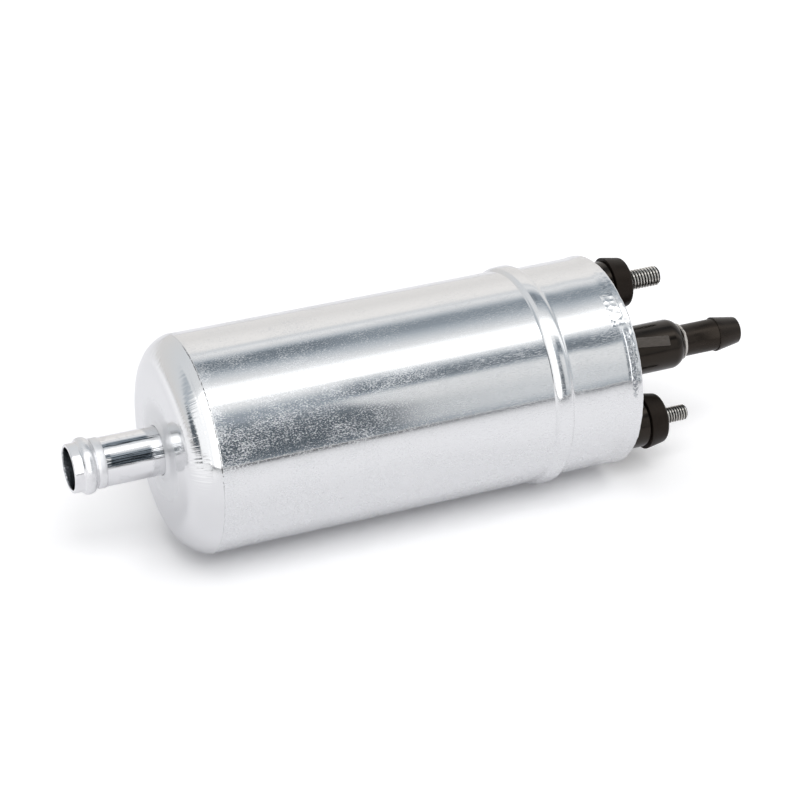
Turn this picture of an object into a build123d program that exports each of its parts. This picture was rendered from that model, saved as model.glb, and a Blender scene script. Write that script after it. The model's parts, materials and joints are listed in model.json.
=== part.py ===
from build123d import *
import math
import os

# In-line electric fuel pump. Millimetres. +X runs along the pump from the inlet
# to the outlet, +Z is up, and the origin is on the axis at the middle of the
# parallel body, where a clamp band holds the pump.

# can: drawn aluminium, closed at the inlet end and rolled over at the outlet end
body_r = 26.0
body_length = 82.4
can_wall = 1.2
shoulder_depth = 6.4
shoulder_r = 9.0
bead_width = 4.9
bead_rise = 1.0
bead_root_r = 0.9
rear_step = 0.4
rear_length = 18.5
rim_rise = 0.4
rim_flare = 4.2
rim_round = 0.8
crimp_lip = 2.2
neck_lip_width = 1.5
neck_lip_rise = 0.7
neck_lip_flat = 0.35
neck_lip_round = 0.3
neck_root_r = 0.8

# fits and gaps
press_gap = 0.02
slip_gap = 0.05
running_gap = 0.04
side_play = 0.05
free_gap = 0.35
seat_gap = 0.02
spring_sides = 6
seal_sides = 8

# inlet nipple and its strainer
nipple_r = 5.8
nipple_wall = 0.85
nipple_length = 22.0
nipple_edge = 0.3
nipple_bead_rise = 0.9
nipple_bead_from_mouth = 2.3
nipple_bead_width = 3.1
nipple_band_rise = 0.15
nipple_band_gap = 0.3
nipple_band_length = 1.9
nipple_flange_width = 3.2
nipple_flange_t = 1.0
strainer_length = 11.5
strainer_wall = 0.4
strainer_gap = 0.35
strainer_rim_width = 1.2
strainer_rim_t = 0.5
strainer_hole = 1.1
strainer_pitch = 1.7
strainer_rows = 3
strainer_slot_width = 2.4
strainer_slots = 4

# pumping stage
inlet_gap = 1.8
cover_t = 9.0
gear_width = 5.0
outlet_plate_t = 7.0
gear_ring_wall = 10.15
outer_gear_rim = 1.6
eccentric_ratio = 10.0
lobe_ratio = 3.25
inner_teeth = 6
points_per_tooth = 18
tooth_gap = 0.1
root_gap = 0.15
port_inset = 3.8
port_width = 3.4
port_sweep = 130.0
port_corner_r = 1.2
suction_angle = 90.0
pressure_angle = 270.0
stage_boss_r = 6.5
stage_boss_length = 3.5
fixing_from_edge = 4.45
screw_r = 1.5
screw_head_r = 2.75
screw_head_h = 1.8
screw_key = 2.5
screw_grip = 4.0
dowel_r = 1.5
dowel_depth = 3.0
stage_seal_cord_r = 0.9
stage_seal_from_front = 6.2

# pressure relief valve in the pumping stage
relief_from_edge = 5.75
relief_bore_r = 2.6
relief_port_r = 1.1
relief_seat_depth = 4.0
relief_ball_r = 2.25
relief_plug_r = 2.9
relief_plug_t = 3.0
relief_plug_hole_r = 1.0
relief_wire_r = 0.25
relief_spring_r = 1.75
relief_turns = 6

# motor
shaft_r = 2.5
shaft_flat = 1.9
shaft_end_gap = 0.3
bush_r = 4.0
bush_length = 8.5
washer_t = 0.6
washer_r = 4.2
flux_ring_t = 2.0
magnet_t = 5.0
magnet_sweep = 122.0
magnet_from_plate = 11.5
magnet_to_brushes = 8.5
clip_t = 0.6
clip_leg = 3.6
clip_inset = 4.5
air_gap = 0.5
core_inset = 3.0
core_slots = 8
core_tooth = 3.4
core_lip = 2.0
core_mouth = 2.0
core_bottom_r = 7.5
insulator_t = 0.8
insulator_inset = 0.3
winding_inset = 0.25
winding_end = 6.2
winding_end_drop = 2.0
winding_bore_r = 5.6
commutator_drop = 4.4
commutator_hub_t = 6.0
commutator_t = 1.8
commutator_bore_r = 5.4
commutator_slot = 0.5
commutator_nose = 2.9

# brush gear
brush_radial = 5.0
brush_wide = 6.4
brush_length = 8.0
brush_circle_r = 8.6
brush_travel = 3.0
brush_gap = 0.05
brush_tube_wall = 1.2
brush_tube_gap = 0.8
brush_tube_spare = 1.4
brush_wire_r = 0.25
brush_spring_r = 1.9
brush_turns = 6
plate_ring_length = 5.5
plate_ring_wall = 3.75
plate_web_t = 2.5
bearing_boss_r = 5.4
window_r = 9.6
window_width = 4.6
window_sweep = 66.0
choke_core_r = 1.8
choke_winding_r = 3.0
choke_end = 0.8

# end cap and terminals
cap_before_bead = 0.2
cap_skirt_wall = 2.3
cap_cavity_depth = 16.0
cap_face_below_rim = 0.2
cap_seal_cord_r = 1.0
cap_seal_land = 0.7
terminal_from_lip = 0.25
terminal_angle = 52.3
terminal_boss_r = 6.15
terminal_boss_length = 7.85
stud_head_r = 4.1
stud_head_t = 2.5
stud_seal_cord_r = 0.7
stud_chamfer = 0.5
stud_groove = 0.3
m5_r = 2.5
m5_out = 14.5
m5_nut_key = 8.0
m5_nut_h = 2.7
m5_washer_r = 5.0
m4_r = 2.0
m4_out = 12.5
m4_nut_key = 7.0
m4_nut_h = 2.2
m4_washer_r = 4.5
terminal_washer_t = 0.8
boot_r = 6.9
boot_top_r = 6.1
boot_length = 5.15
boot_edge_r = 0.9
boot_cavity_r = 5.25
boot_top_wall = 1.2

# outlet tower, non-return valve and outlet fitting
tower_r = 6.15
tower_length = 23.2
tower_round = 3.5
tower_neck_gap = 0.08
rib_width = 2.2
rib_rise = 0.6
rib_turn = 80.7
rib_skew = 5.0
rib_short_of_end = 2.3
tower_wall = 1.75
valve_seat_t = 4.0
valve_port_r = 2.3
valve_head_inset = 0.85
valve_head_t = 4.0
valve_seal_t = 1.0
valve_seal_inset = 1.1
valve_stub_r = 1.2
valve_stub_length = 1.5
valve_stem_r = 1.8
valve_stem_length = 6.0
valve_neck_wall = 5.4
valve_wire_r = 0.3
valve_spring_r = 3.15
valve_turns = 6
outlet_r = 3.97
outlet_wall = 1.27
outlet_length = 10.0
spigot_step = 0.37
spigot_length = 4.6
barb_rise = 0.33
barb_taper = 1.0
barb_length = 6.5
barb_edge = 0.25
tip_round = 0.5
joint_ring_rise = 0.78
joint_ring_t = 1.0

# stations along the axis
x_body0 = -body_length / 2
x_body1 = body_length / 2
x_face = x_body0 - shoulder_depth
x_inside = x_face + can_wall
x_bead1 = x_body1 + bead_width
x_rim = x_bead1 + rear_length
x_flare = x_rim - rim_flare
x_mouth = x_face - nipple_length
x_cover = x_inside + inlet_gap
x_ring = x_cover + cover_t
x_plate = x_ring + gear_width + 2 * side_play
x_motor = x_plate + outlet_plate_t
x_stage_boss = x_motor + stage_boss_length
x_cap = x_body1 - cap_before_bead
x_flux1 = x_cap - plate_ring_length
x_web = x_cap
x_web1 = x_web + plate_web_t
x_cap_in = x_cap + cap_cavity_depth
x_cap_face = x_rim - cap_face_below_rim
x_terminal = x_cap_face + terminal_boss_length
x_boot1 = x_terminal + boot_length
x_tower = x_cap_face + tower_length
x_outlet = x_tower + outlet_length
x_tip = x_outlet + barb_length
x_magnet = x_motor + magnet_from_plate
magnet_length = x_flux1 - magnet_to_brushes - x_magnet
x_core = x_magnet + core_inset
core_length = magnet_length - 2 * core_inset
x_core1 = x_core + core_length
x_wound = x_core1 + insulator_t + winding_end
x_commutator = x_wound + commutator_hub_t + commutator_t
x_nose = x_commutator + commutator_nose
x_bush = x_nose + washer_t + side_play
x_bush1 = x_bush + bush_length
x_brush = x_commutator + brush_gap
x_brush1 = x_brush + brush_length
brush_tube_length = brush_length + brush_travel + brush_tube_spare
x_seat = x_cap_in + valve_seat_t

# radii that follow from them
can_r = body_r - can_wall
rear_r = body_r - rear_step
rim_r = rear_r + rim_rise
crimp_lip_r = rim_r - crimp_lip
nipple_bore_r = nipple_r - nipple_wall
stage_r = can_r - slip_gap
fixing_circle_r = stage_r - fixing_from_edge
relief_circle_r = stage_r - relief_from_edge
outer_gear_r = stage_r - gear_ring_wall
lobe_circle_r = outer_gear_r - outer_gear_rim
lobe_r = lobe_circle_r / lobe_ratio
eccentricity = lobe_circle_r / eccentric_ratio
outer_teeth = inner_teeth + 1
port_r = lobe_circle_r - port_inset
flux_r = stage_r - flux_ring_t
magnet_r = flux_r - slip_gap
magnet_bore_r = magnet_r - magnet_t
core_r = magnet_bore_r - air_gap
winding_end_r = core_r - winding_end_drop
commutator_r = core_r - commutator_drop
skirt_r = rear_r - can_wall - slip_gap
cavity_r = skirt_r - cap_skirt_wall
terminal_circle_r = crimp_lip_r - terminal_boss_r - terminal_from_lip
valve_bore_r = tower_r - tower_wall
spigot_r = outlet_r - spigot_step
tower_neck_r = outlet_r + tower_neck_gap
shoulder_drop = math.sqrt(shoulder_r**2 - (shoulder_r - shoulder_depth) ** 2)
shoulder_centre = (x_face + shoulder_r, body_r - shoulder_drop)


def across(x, y=0.0, z=0.0):
    """Plane square to the pump's axis, with its own x along +Y and y along +Z."""
    return Plane(origin=(x, y, z), x_dir=(0, 1, 0), z_dir=(1, 0, 0))


def off_axis(x, radius, angle):
    """Plane square to the axis, at a radius and an angle from +Y towards +Z."""
    turn = math.radians(angle)
    outward = (0, math.cos(turn), math.sin(turn))
    return Plane(
        origin=(x, radius * outward[1], radius * outward[2]),
        x_dir=outward,
        z_dir=(1, 0, 0),
    )


def outline(*corners):
    """Half section through the axis, from (x, radius) corners."""
    with BuildSketch(Plane.XZ) as half:
        with BuildLine():
            Polyline(*corners, close=True)
        make_face()
    return half.sketch


def ring(x0, x1, outer_r, inner_r):
    """Half section of a plain ring."""
    return outline((x0, inner_r), (x1, inner_r), (x1, outer_r), (x0, outer_r))


def on_arc(centre, radius, angle):
    """Point of a circle, with the angle in degrees."""
    turn = math.radians(angle)
    return (centre[0] + radius * math.cos(turn), centre[1] + radius * math.sin(turn))


def cord_ring(plane, circle_r, cord_r):
    """Elastic seal, squeezed to flats: a cord closed on itself, lying in the given plane."""
    with BuildPart() as seal:
        with BuildSketch(Plane(plane.origin, x_dir=plane.z_dir, z_dir=plane.y_dir)):
            with Locations((0, circle_r)):
                RegularPolygon(cord_r, seal_sides, major_radius=False, rotation=180 / seal_sides)
        revolve(axis=Axis(plane.origin, plane.z_dir))
    return seal


def sector(x, length, outer_r, inner_r, start, sweep):
    """Arc-shaped block round the axis."""
    with BuildPart() as block:
        with BuildSketch(across(x)):
            with BuildLine():
                outer = CenterArc((0, 0), outer_r, start, sweep)
                inner = CenterArc((0, 0), inner_r, start, sweep)
                Line(outer @ 0, inner @ 0)
                Line(outer @ 1, inner @ 1)
            make_face()
        extrude(amount=length)
    return block.part


def kidney(centre_y, radius, width, start, sweep, corner_r):
    """Curved port in the plane square to the axis."""
    with BuildSketch() as port:
        with BuildLine():
            outer = CenterArc((centre_y, 0), radius + width / 2, start, sweep)
            inner = CenterArc((centre_y, 0), radius - width / 2, start, sweep)
            Line(outer @ 0, inner @ 0)
            Line(outer @ 1, inner @ 1)
        make_face()
        fillet(port.vertices(), corner_r)
    return port.sketch


def coil(plane, start, end, mean_r, wire_r, turns):
    """Compression spring along +X in one unbroken wire, from start to end."""
    rise = (end - start) - 2 * wire_r
    origin = Vector(*plane.origin) + Vector(start + wire_r, 0, 0)
    with BuildPart() as spring:
        with BuildLine() as path:
            Helix(pitch=rise / turns, height=rise, radius=mean_r, center=tuple(origin), direction=(1, 0, 0))
        with BuildSketch(Plane(path.line @ 0, z_dir=path.line % 0)):
            RegularPolygon(wire_r, spring_sides)
        sweep(path=path.line, is_frenet=True)
    return spring


def save(piece, name):
    """Label a finished piece and write it."""
    piece.part.label = name
    export_step(piece.part, f"parts/{name}.step")


os.makedirs("parts", exist_ok=True)

# can
with BuildPart() as housing_can:
    hole_r = nipple_r + press_gap
    inner_arc_r = shoulder_r - can_wall
    inner_reach = math.sqrt(inner_arc_r**2 - (can_r - shoulder_centre[1]) ** 2)
    outer_turn = math.degrees(math.acos((shoulder_depth - shoulder_r) / shoulder_r))
    inner_turn = math.degrees(math.acos(-inner_reach / inner_arc_r))
    x_crest = (x_body1 + x_bead1) / 2
    x_lip = x_face - neck_lip_rise
    lip_top = (x_lip, hole_r + neck_lip_flat)
    lip_root = (x_face, nipple_r + neck_lip_width)
    rim_centre = (x_rim - rim_round, rim_r - rim_round)
    with BuildSketch(Plane.XZ) as can_half:
        with BuildLine():
            Polyline(
                (x_inside, hole_r),
                (x_lip, hole_r),
                lip_top,
                lip_root,
                (x_face, shoulder_centre[1]),
            )
            ThreePointArc(
                (x_face, shoulder_centre[1]),
                on_arc(shoulder_centre, shoulder_r, (180 + outer_turn) / 2),
                (x_body0, body_r),
            )
            Line((x_body0, body_r), (x_body1, body_r))
            ThreePointArc((x_body1, body_r), (x_crest, body_r + bead_rise), (x_bead1, rear_r))
            Polyline((x_bead1, rear_r), (x_flare, rear_r), (rim_centre[0], rim_r))
            ThreePointArc(
                (rim_centre[0], rim_r),
                on_arc(rim_centre, rim_round, 45),
                (x_rim, rim_centre[1]),
            )
            Polyline(
                (x_rim, rim_centre[1]),
                (x_rim, crimp_lip_r),
                (x_rim - can_wall, crimp_lip_r),
                (x_rim - can_wall, rim_r - can_wall),
                (x_flare, rear_r - can_wall),
                (x_bead1, rear_r - can_wall),
            )
            ThreePointArc((x_bead1, rear_r - can_wall), (x_crest, can_r + bead_rise), (x_body1, can_r))
            Line((x_body1, can_r), (shoulder_centre[0] - inner_reach, can_r))
            ThreePointArc(
                (shoulder_centre[0] - inner_reach, can_r),
                on_arc(shoulder_centre, inner_arc_r, (180 + inner_turn) / 2),
                (x_inside, shoulder_centre[1]),
            )
            Line((x_inside, shoulder_centre[1]), (x_inside, hole_r))
        make_face()
        fillet(can_half.vertices().sort_by_distance((x_body1, body_r))[0], bead_root_r)
        fillet(can_half.vertices().sort_by_distance(lip_top)[0], neck_lip_round)
        fillet(can_half.vertices().sort_by_distance(lip_root)[0], neck_root_r)
    revolve(axis=Axis.X)
save(housing_can, "housing_can")

# inlet nipple: steel tube with a hose bead and a flange clinched inside the can
with BuildPart() as inlet_nipple:
    x_bead_a = x_mouth + nipple_bead_from_mouth
    x_bead_b = x_bead_a + nipple_bead_width
    x_band_a = x_bead_b + nipple_band_gap
    x_band_b = x_band_a + nipple_band_length
    x_flange = x_inside + nipple_flange_t
    band_r = nipple_r + nipple_band_rise
    flange_out_r = nipple_r + nipple_flange_width
    with BuildSketch(Plane.XZ):
        with BuildLine():
            Polyline(
                (x_bead_a, nipple_r),
                (x_mouth + nipple_edge, nipple_r),
                (x_mouth, nipple_r - nipple_edge),
                (x_mouth, nipple_bore_r),
                (x_flange, nipple_bore_r),
                (x_flange, flange_out_r),
                (x_inside, flange_out_r),
                (x_inside, nipple_r),
                (x_band_b, nipple_r),
                (x_band_b - nipple_band_rise, band_r),
                (x_band_a, band_r),
                (x_band_a, nipple_r),
                (x_bead_b, nipple_r),
            )
            ThreePointArc(
                (x_bead_b, nipple_r),
                ((x_bead_a + x_bead_b) / 2, nipple_r + nipple_bead_rise),
                (x_bead_a, nipple_r),
            )
        make_face()
    revolve(axis=Axis.X)
save(inlet_nipple, "inlet_nipple")

# strainer: thimble with a pierced end and side slots, its rim on the nipple's flange
with BuildPart() as inlet_strainer:
    strainer_r = nipple_bore_r - strainer_gap
    strainer_rim_r = nipple_r + strainer_rim_width
    x_strainer = x_flange - strainer_length
    revolve(
        outline(
            (x_strainer, 0),
            (x_strainer, strainer_r),
            (x_flange, strainer_r),
            (x_flange, strainer_rim_r),
            (x_flange + strainer_rim_t, strainer_rim_r),
            (x_flange + strainer_rim_t, strainer_r - strainer_wall),
            (x_strainer + strainer_wall, strainer_r - strainer_wall),
            (x_strainer + strainer_wall, 0),
        ),
        axis=Axis.X,
    )
    with BuildSketch(across(x_strainer)):
        with GridLocations(strainer_pitch, strainer_pitch, strainer_rows, strainer_rows):
            Rectangle(strainer_hole, strainer_hole)
    extrude(amount=strainer_wall, mode=Mode.SUBTRACT)
    slot_length = strainer_length - 4 * strainer_slot_width / 2
    with BuildSketch(across(x_strainer + strainer_slot_width)):
        with PolarLocations(0, strainer_slots):
            with Locations((strainer_r, 0)):
                Rectangle(2 * strainer_gap + 2 * strainer_wall, strainer_slot_width)
    extrude(amount=slot_length, mode=Mode.SUBTRACT)
save(inlet_strainer, "inlet_strainer")

# places shared by the pieces of the pumping stage
screw_angles = [60, 180, 300]
dowel_angles = [120, 240]


def pump_port(centre_angle):
    """Port through one end of the gear pocket."""
    start = centre_angle - port_sweep / 2
    return kidney(-eccentricity / 2, port_r, port_width, start, port_sweep, port_corner_r)


x_screw_tip = x_ring - screw_grip
x_screw_seat = x_motor - screw_head_h - seat_gap
x_stage_seal = x_cover + stage_seal_from_front
stage_groove_r = can_r - 2 * stage_seal_cord_r - 2 * seat_gap
x_relief_seat = x_plate + relief_seat_depth
x_relief_plug = x_cover + relief_plug_t

# inlet cover: seats in the can's shoulder and holds the suction port and the valve plug
with BuildPart() as pump_inlet_cover:
    seat_arc_r = shoulder_r - can_wall - slip_gap
    front_reach = shoulder_centre[0] - x_cover
    edge_reach = math.sqrt(seat_arc_r**2 - (stage_r - shoulder_centre[1]) ** 2)
    front_r = shoulder_centre[1] + math.sqrt(seat_arc_r**2 - front_reach**2)
    front_turn = 180 - math.degrees(math.acos(front_reach / seat_arc_r))
    edge_turn = 180 - math.degrees(math.acos(edge_reach / seat_arc_r))
    groove_half = stage_seal_cord_r + slip_gap
    with BuildSketch(Plane.XZ):
        with BuildLine():
            Polyline((x_ring, 0), (x_cover, 0), (x_cover, front_r))
            ThreePointArc(
                (x_cover, front_r),
                on_arc(shoulder_centre, seat_arc_r, (front_turn + edge_turn) / 2),
                (shoulder_centre[0] - edge_reach, stage_r),
            )
            Polyline(
                (shoulder_centre[0] - edge_reach, stage_r),
                (x_stage_seal - groove_half, stage_r),
                (x_stage_seal - groove_half, stage_groove_r),
                (x_stage_seal + groove_half, stage_groove_r),
                (x_stage_seal + groove_half, stage_r),
                (x_ring, stage_r),
                (x_ring, 0),
            )
        make_face()
    revolve(axis=Axis.X)
    with BuildSketch(across(x_cover)):
        add(pump_port(suction_angle))
    extrude(amount=cover_t, mode=Mode.SUBTRACT)
    with BuildSketch(across(x_cover, relief_circle_r)):
        Circle(relief_plug_r + press_gap)
    extrude(amount=relief_plug_t, mode=Mode.SUBTRACT)
    with BuildSketch(across(x_cover, relief_circle_r)):
        Circle(relief_bore_r)
    extrude(amount=cover_t, mode=Mode.SUBTRACT)
    for angle in screw_angles:
        with BuildSketch(off_axis(x_screw_tip - seat_gap, fixing_circle_r, angle)):
            Circle(screw_r + press_gap)
        extrude(amount=screw_grip + seat_gap, mode=Mode.SUBTRACT)
    for angle in dowel_angles:
        with BuildSketch(off_axis(x_ring - dowel_depth, fixing_circle_r, angle)):
            Circle(dowel_r + press_gap)
        extrude(amount=dowel_depth, mode=Mode.SUBTRACT)
save(pump_inlet_cover, "pump_inlet_cover")

pump_seal_ring = cord_ring(across(x_stage_seal), can_r - seat_gap - stage_seal_cord_r, stage_seal_cord_r)
save(pump_seal_ring, "pump_seal_ring")

# gear ring: the eccentric pocket that the outer gear runs in
with BuildPart() as gear_ring:
    with BuildSketch(across(x_ring)):
        Circle(stage_r)
        with Locations((-eccentricity, 0)):
            Circle(outer_gear_r + running_gap, mode=Mode.SUBTRACT)
        with Locations((relief_circle_r, 0)):
            Circle(relief_bore_r, mode=Mode.SUBTRACT)
        for angle in screw_angles:
            with Locations(on_arc((0, 0), fixing_circle_r, angle)):
                Circle(screw_r + press_gap, mode=Mode.SUBTRACT)
        for angle in dowel_angles:
            with Locations(on_arc((0, 0), fixing_circle_r, angle)):
                Circle(dowel_r + press_gap, mode=Mode.SUBTRACT)
    extrude(amount=x_plate - x_ring)
save(gear_ring, "gear_ring")


def tooth_point(turn):
    """Point of the inner gear's flank: the curve that clears every lobe of the outer gear."""
    radius = lobe_r + tooth_gap
    lean = math.atan2(
        math.sin((1 - outer_teeth) * turn),
        lobe_circle_r / (eccentricity * outer_teeth) - math.cos((1 - outer_teeth) * turn),
    )
    lobe_centre = (
        lobe_circle_r * math.cos(turn) - eccentricity * math.cos(outer_teeth * turn),
        eccentricity * math.sin(outer_teeth * turn) - lobe_circle_r * math.sin(turn),
    )
    return (
        lobe_centre[0] - radius * math.cos(turn + lean),
        lobe_centre[1] + radius * math.sin(turn + lean),
    )


# inner gear: six teeth, driven by the two flats of the shaft
with BuildPart() as inner_gear:
    points = points_per_tooth * inner_teeth
    with BuildSketch(across(x_ring + side_play)):
        with BuildLine():
            Spline([tooth_point(2 * math.pi * i / points) for i in range(points)], periodic=True)
        make_face()
    extrude(amount=gear_width)
    with BuildSketch(across(x_ring + side_play)):
        Circle(shaft_r + running_gap)
        Rectangle(2 * (shaft_r + running_gap), 2 * (shaft_flat + running_gap), mode=Mode.INTERSECT)
    extrude(amount=gear_width, mode=Mode.SUBTRACT)
save(inner_gear, "inner_gear")

# outer gear: a ring with seven round lobes inside, on its own centre
with BuildPart() as outer_gear:
    root_r = lobe_circle_r - lobe_r + 2 * eccentricity + root_gap
    with BuildSketch(across(x_ring + side_play, -eccentricity)):
        Circle(outer_gear_r)
        with BuildSketch(mode=Mode.SUBTRACT):
            Circle(root_r)
            with PolarLocations(lobe_circle_r, outer_teeth):
                Circle(lobe_r, mode=Mode.SUBTRACT)
    extrude(amount=gear_width)
save(outer_gear, "outer_gear")

# outlet plate: pressure port, front bearing boss and the relief valve's seat
with BuildPart() as pump_outlet_plate:
    x_front_bush = x_stage_boss - bush_length
    revolve(
        outline(
            (x_plate, 0),
            (x_plate, stage_r),
            (x_motor, stage_r),
            (x_motor, stage_boss_r),
            (x_stage_boss, stage_boss_r),
            (x_stage_boss, 0),
        ),
        axis=Axis.X,
    )
    with BuildSketch(across(x_plate)):
        Circle(shaft_r + free_gap)
    extrude(amount=x_front_bush - x_plate, mode=Mode.SUBTRACT)
    with BuildSketch(across(x_front_bush)):
        Circle(bush_r + press_gap)
    extrude(amount=bush_length, mode=Mode.SUBTRACT)
    with BuildSketch(across(x_plate)):
        add(pump_port(pressure_angle))
    extrude(amount=outlet_plate_t, mode=Mode.SUBTRACT)
    with BuildSketch(across(x_plate, relief_circle_r)):
        Circle(relief_bore_r)
    extrude(amount=relief_seat_depth, mode=Mode.SUBTRACT)
    with BuildSketch(across(x_relief_seat, relief_circle_r)):
        Circle(relief_port_r)
    extrude(amount=x_motor - x_relief_seat, mode=Mode.SUBTRACT)
    for angle in screw_angles:
        with BuildSketch(off_axis(x_plate, fixing_circle_r, angle)):
            Circle(screw_r + press_gap)
        extrude(amount=outlet_plate_t, mode=Mode.SUBTRACT)
        with BuildSketch(off_axis(x_screw_seat, fixing_circle_r, angle)):
            Circle(screw_head_r + slip_gap)
        extrude(amount=x_motor - x_screw_seat, mode=Mode.SUBTRACT)
    for angle in dowel_angles:
        with BuildSketch(off_axis(x_plate, fixing_circle_r, angle)):
            Circle(dowel_r + press_gap)
        extrude(amount=dowel_depth, mode=Mode.SUBTRACT)
save(pump_outlet_plate, "pump_outlet_plate")

with BuildPart() as pump_screws:
    for angle in screw_angles:
        with BuildSketch(off_axis(x_screw_tip, fixing_circle_r, angle)):
            Circle(screw_r)
        extrude(amount=x_screw_seat - x_screw_tip)
        with BuildSketch(off_axis(x_screw_seat, fixing_circle_r, angle)):
            Circle(screw_head_r)
            RegularPolygon(screw_key / 2, 6, major_radius=False, mode=Mode.SUBTRACT)
        extrude(amount=screw_head_h)
        with BuildSketch(off_axis(x_screw_seat, fixing_circle_r, angle)):
            Circle(screw_r)
        extrude(amount=screw_head_h / 3)
save(pump_screws, "pump_screws")

with BuildPart() as dowel_pins:
    for angle in dowel_angles:
        with BuildSketch(off_axis(x_ring - dowel_depth + seat_gap, fixing_circle_r, angle)):
            Circle(dowel_r)
        extrude(amount=x_plate - x_ring + 2 * (dowel_depth - seat_gap))
save(dowel_pins, "dowel_pins")

# relief valve: a ball on a drilled seat, a spring and a hollow plug
with BuildPart() as relief_plug:
    with BuildSketch(across(x_cover, relief_circle_r)):
        Circle(relief_plug_r)
        Circle(relief_plug_hole_r, mode=Mode.SUBTRACT)
    extrude(amount=relief_plug_t)
save(relief_plug, "relief_plug")

x_ball = x_relief_seat - math.sqrt(relief_ball_r**2 - relief_port_r**2) - seat_gap
with BuildPart() as relief_ball:
    with Locations((x_ball, relief_circle_r, 0)):
        Sphere(relief_ball_r)
save(relief_ball, "relief_ball")

spring_reach = math.sqrt((relief_ball_r + relief_wire_r + seat_gap) ** 2 - relief_spring_r**2)
relief_spring = coil(
    across(0, relief_circle_r),
    x_relief_plug + seat_gap,
    x_ball - spring_reach + relief_wire_r - seat_gap,
    relief_spring_r,
    relief_wire_r,
    relief_turns,
)
save(relief_spring, "relief_spring")

# bearings and thrust washers
with BuildPart() as front_bush:
    revolve(ring(x_front_bush, x_stage_boss, bush_r, shaft_r + running_gap), axis=Axis.X)
save(front_bush, "front_bush")

with BuildPart() as rear_bush:
    revolve(ring(x_bush, x_bush1, bush_r, shaft_r + running_gap), axis=Axis.X)
save(rear_bush, "rear_bush")

x_hub_front = x_stage_boss + side_play + washer_t
with BuildPart() as thrust_washers:
    revolve(ring(x_hub_front - washer_t, x_hub_front, washer_r, shaft_r + press_gap), axis=Axis.X)
    revolve(ring(x_nose, x_nose + washer_t, washer_r, shaft_r + press_gap), axis=Axis.X)
save(thrust_washers, "thrust_washers")

# field: soft iron ring, two magnets and the clips that spread them
with BuildPart() as flux_ring:
    revolve(ring(x_motor, x_flux1, stage_r, flux_r), axis=Axis.X)
save(flux_ring, "flux_ring")

magnet_centres = {"magnet_upper": 90, "magnet_lower": 270}
for name, centre in magnet_centres.items():
    with BuildPart() as magnet:
        add(sector(x_magnet, magnet_length, magnet_r, magnet_bore_r, centre - magnet_sweep / 2, magnet_sweep))
    save(magnet, name)

with BuildPart() as magnet_clips:
    x_clip = x_magnet + clip_inset
    clip_length = magnet_length - 2 * clip_inset
    leg_sweep = math.degrees(clip_t / (magnet_r - clip_leg))
    slack = math.degrees(slip_gap / magnet_bore_r)
    clip_sweep = 180 - magnet_sweep - 2 * slack
    for side in (0, 180):
        start = side - clip_sweep / 2
        add(sector(x_clip, clip_length, magnet_r, magnet_r - clip_t, start, clip_sweep))
        for leg_start in (start, start + clip_sweep - leg_sweep):
            add(sector(x_clip, clip_length, magnet_r, magnet_r - clip_leg, leg_start, leg_sweep))
save(magnet_clips, "magnet_clips")

# armature
with BuildPart() as armature_shaft:
    x_shaft = x_ring + shaft_end_gap
    x_shaft1 = x_bush1 + free_gap
    revolve(outline((x_shaft, 0), (x_shaft, shaft_r), (x_shaft1, shaft_r), (x_shaft1, 0)), axis=Axis.X)
    with BuildSketch(across(x_shaft)):
        Circle(shaft_r + slip_gap)
        Rectangle(3 * shaft_r, 2 * shaft_flat, mode=Mode.SUBTRACT)
    extrude(amount=x_plate - x_shaft, mode=Mode.SUBTRACT)
    chamfer(armature_shaft.faces().sort_by(Axis.X)[-1].edges(), shaft_end_gap)
save(armature_shaft, "armature_shaft")


def slot_corners(inset):
    """Corners of a winding slot on the local radial line, drawn in from the iron."""
    lean = math.tan(math.pi / core_slots)
    low = core_bottom_r + inset
    high = core_r - core_lip - inset
    half_low = low * lean - core_tooth / 2 - inset
    half_high = high * lean - core_tooth / 2 - inset
    return [(low, -half_low), (high, -half_high), (high, half_high), (low, half_low)]


def slotted_disc(outer_r):
    """Section of the laminated core or of its end insulator."""
    with BuildSketch(Plane.XY) as section:
        Circle(outer_r)
        Circle(shaft_r + press_gap, mode=Mode.SUBTRACT)
        with PolarLocations(0, core_slots):
            Polygon(*slot_corners(0), align=None, mode=Mode.SUBTRACT)
            with Locations((core_r - core_lip / 2, 0)):
                Rectangle(2 * core_lip, core_mouth, mode=Mode.SUBTRACT)
    return section.sketch


core_section = slotted_disc(core_r)
insulator_section = slotted_disc(core_r - insulator_inset)

with BuildPart() as armature_core:
    with BuildSketch(across(x_core)):
        add(core_section)
    extrude(amount=core_length)
save(armature_core, "armature_core")

hub_r = winding_bore_r - press_gap
x_insulator0 = x_core - insulator_t
x_insulator1 = x_core1 + insulator_t
with BuildPart() as armature_insulators:
    with BuildSketch(across(x_insulator0)):
        add(insulator_section)
    extrude(amount=insulator_t)
    with BuildSketch(across(x_core1)):
        add(insulator_section)
    extrude(amount=insulator_t)
    revolve(ring(x_hub_front, x_insulator0, hub_r, shaft_r + press_gap), axis=Axis.X)
    revolve(ring(x_insulator1, x_wound, hub_r, shaft_r + press_gap), axis=Axis.X)
save(armature_insulators, "armature_insulators")

with BuildPart() as armature_winding:
    for x0, x1 in ((x_insulator0 - winding_end, x_insulator0), (x_insulator1, x_wound)):
        with BuildSketch(Plane.XZ):
            with Locations(((x0 + x1) / 2, (winding_end_r + winding_bore_r) / 2)):
                end_turns = Rectangle(x1 - x0, winding_end_r - winding_bore_r)
            chamfer(end_turns.vertices(), winding_end / 4)
        revolve(axis=Axis.X)
    with BuildSketch(across(x_insulator0)):
        with PolarLocations(0, core_slots):
            Polygon(*slot_corners(winding_inset), align=None)
    extrude(amount=core_length + 2 * insulator_t)
save(armature_winding, "armature_winding")

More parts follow.
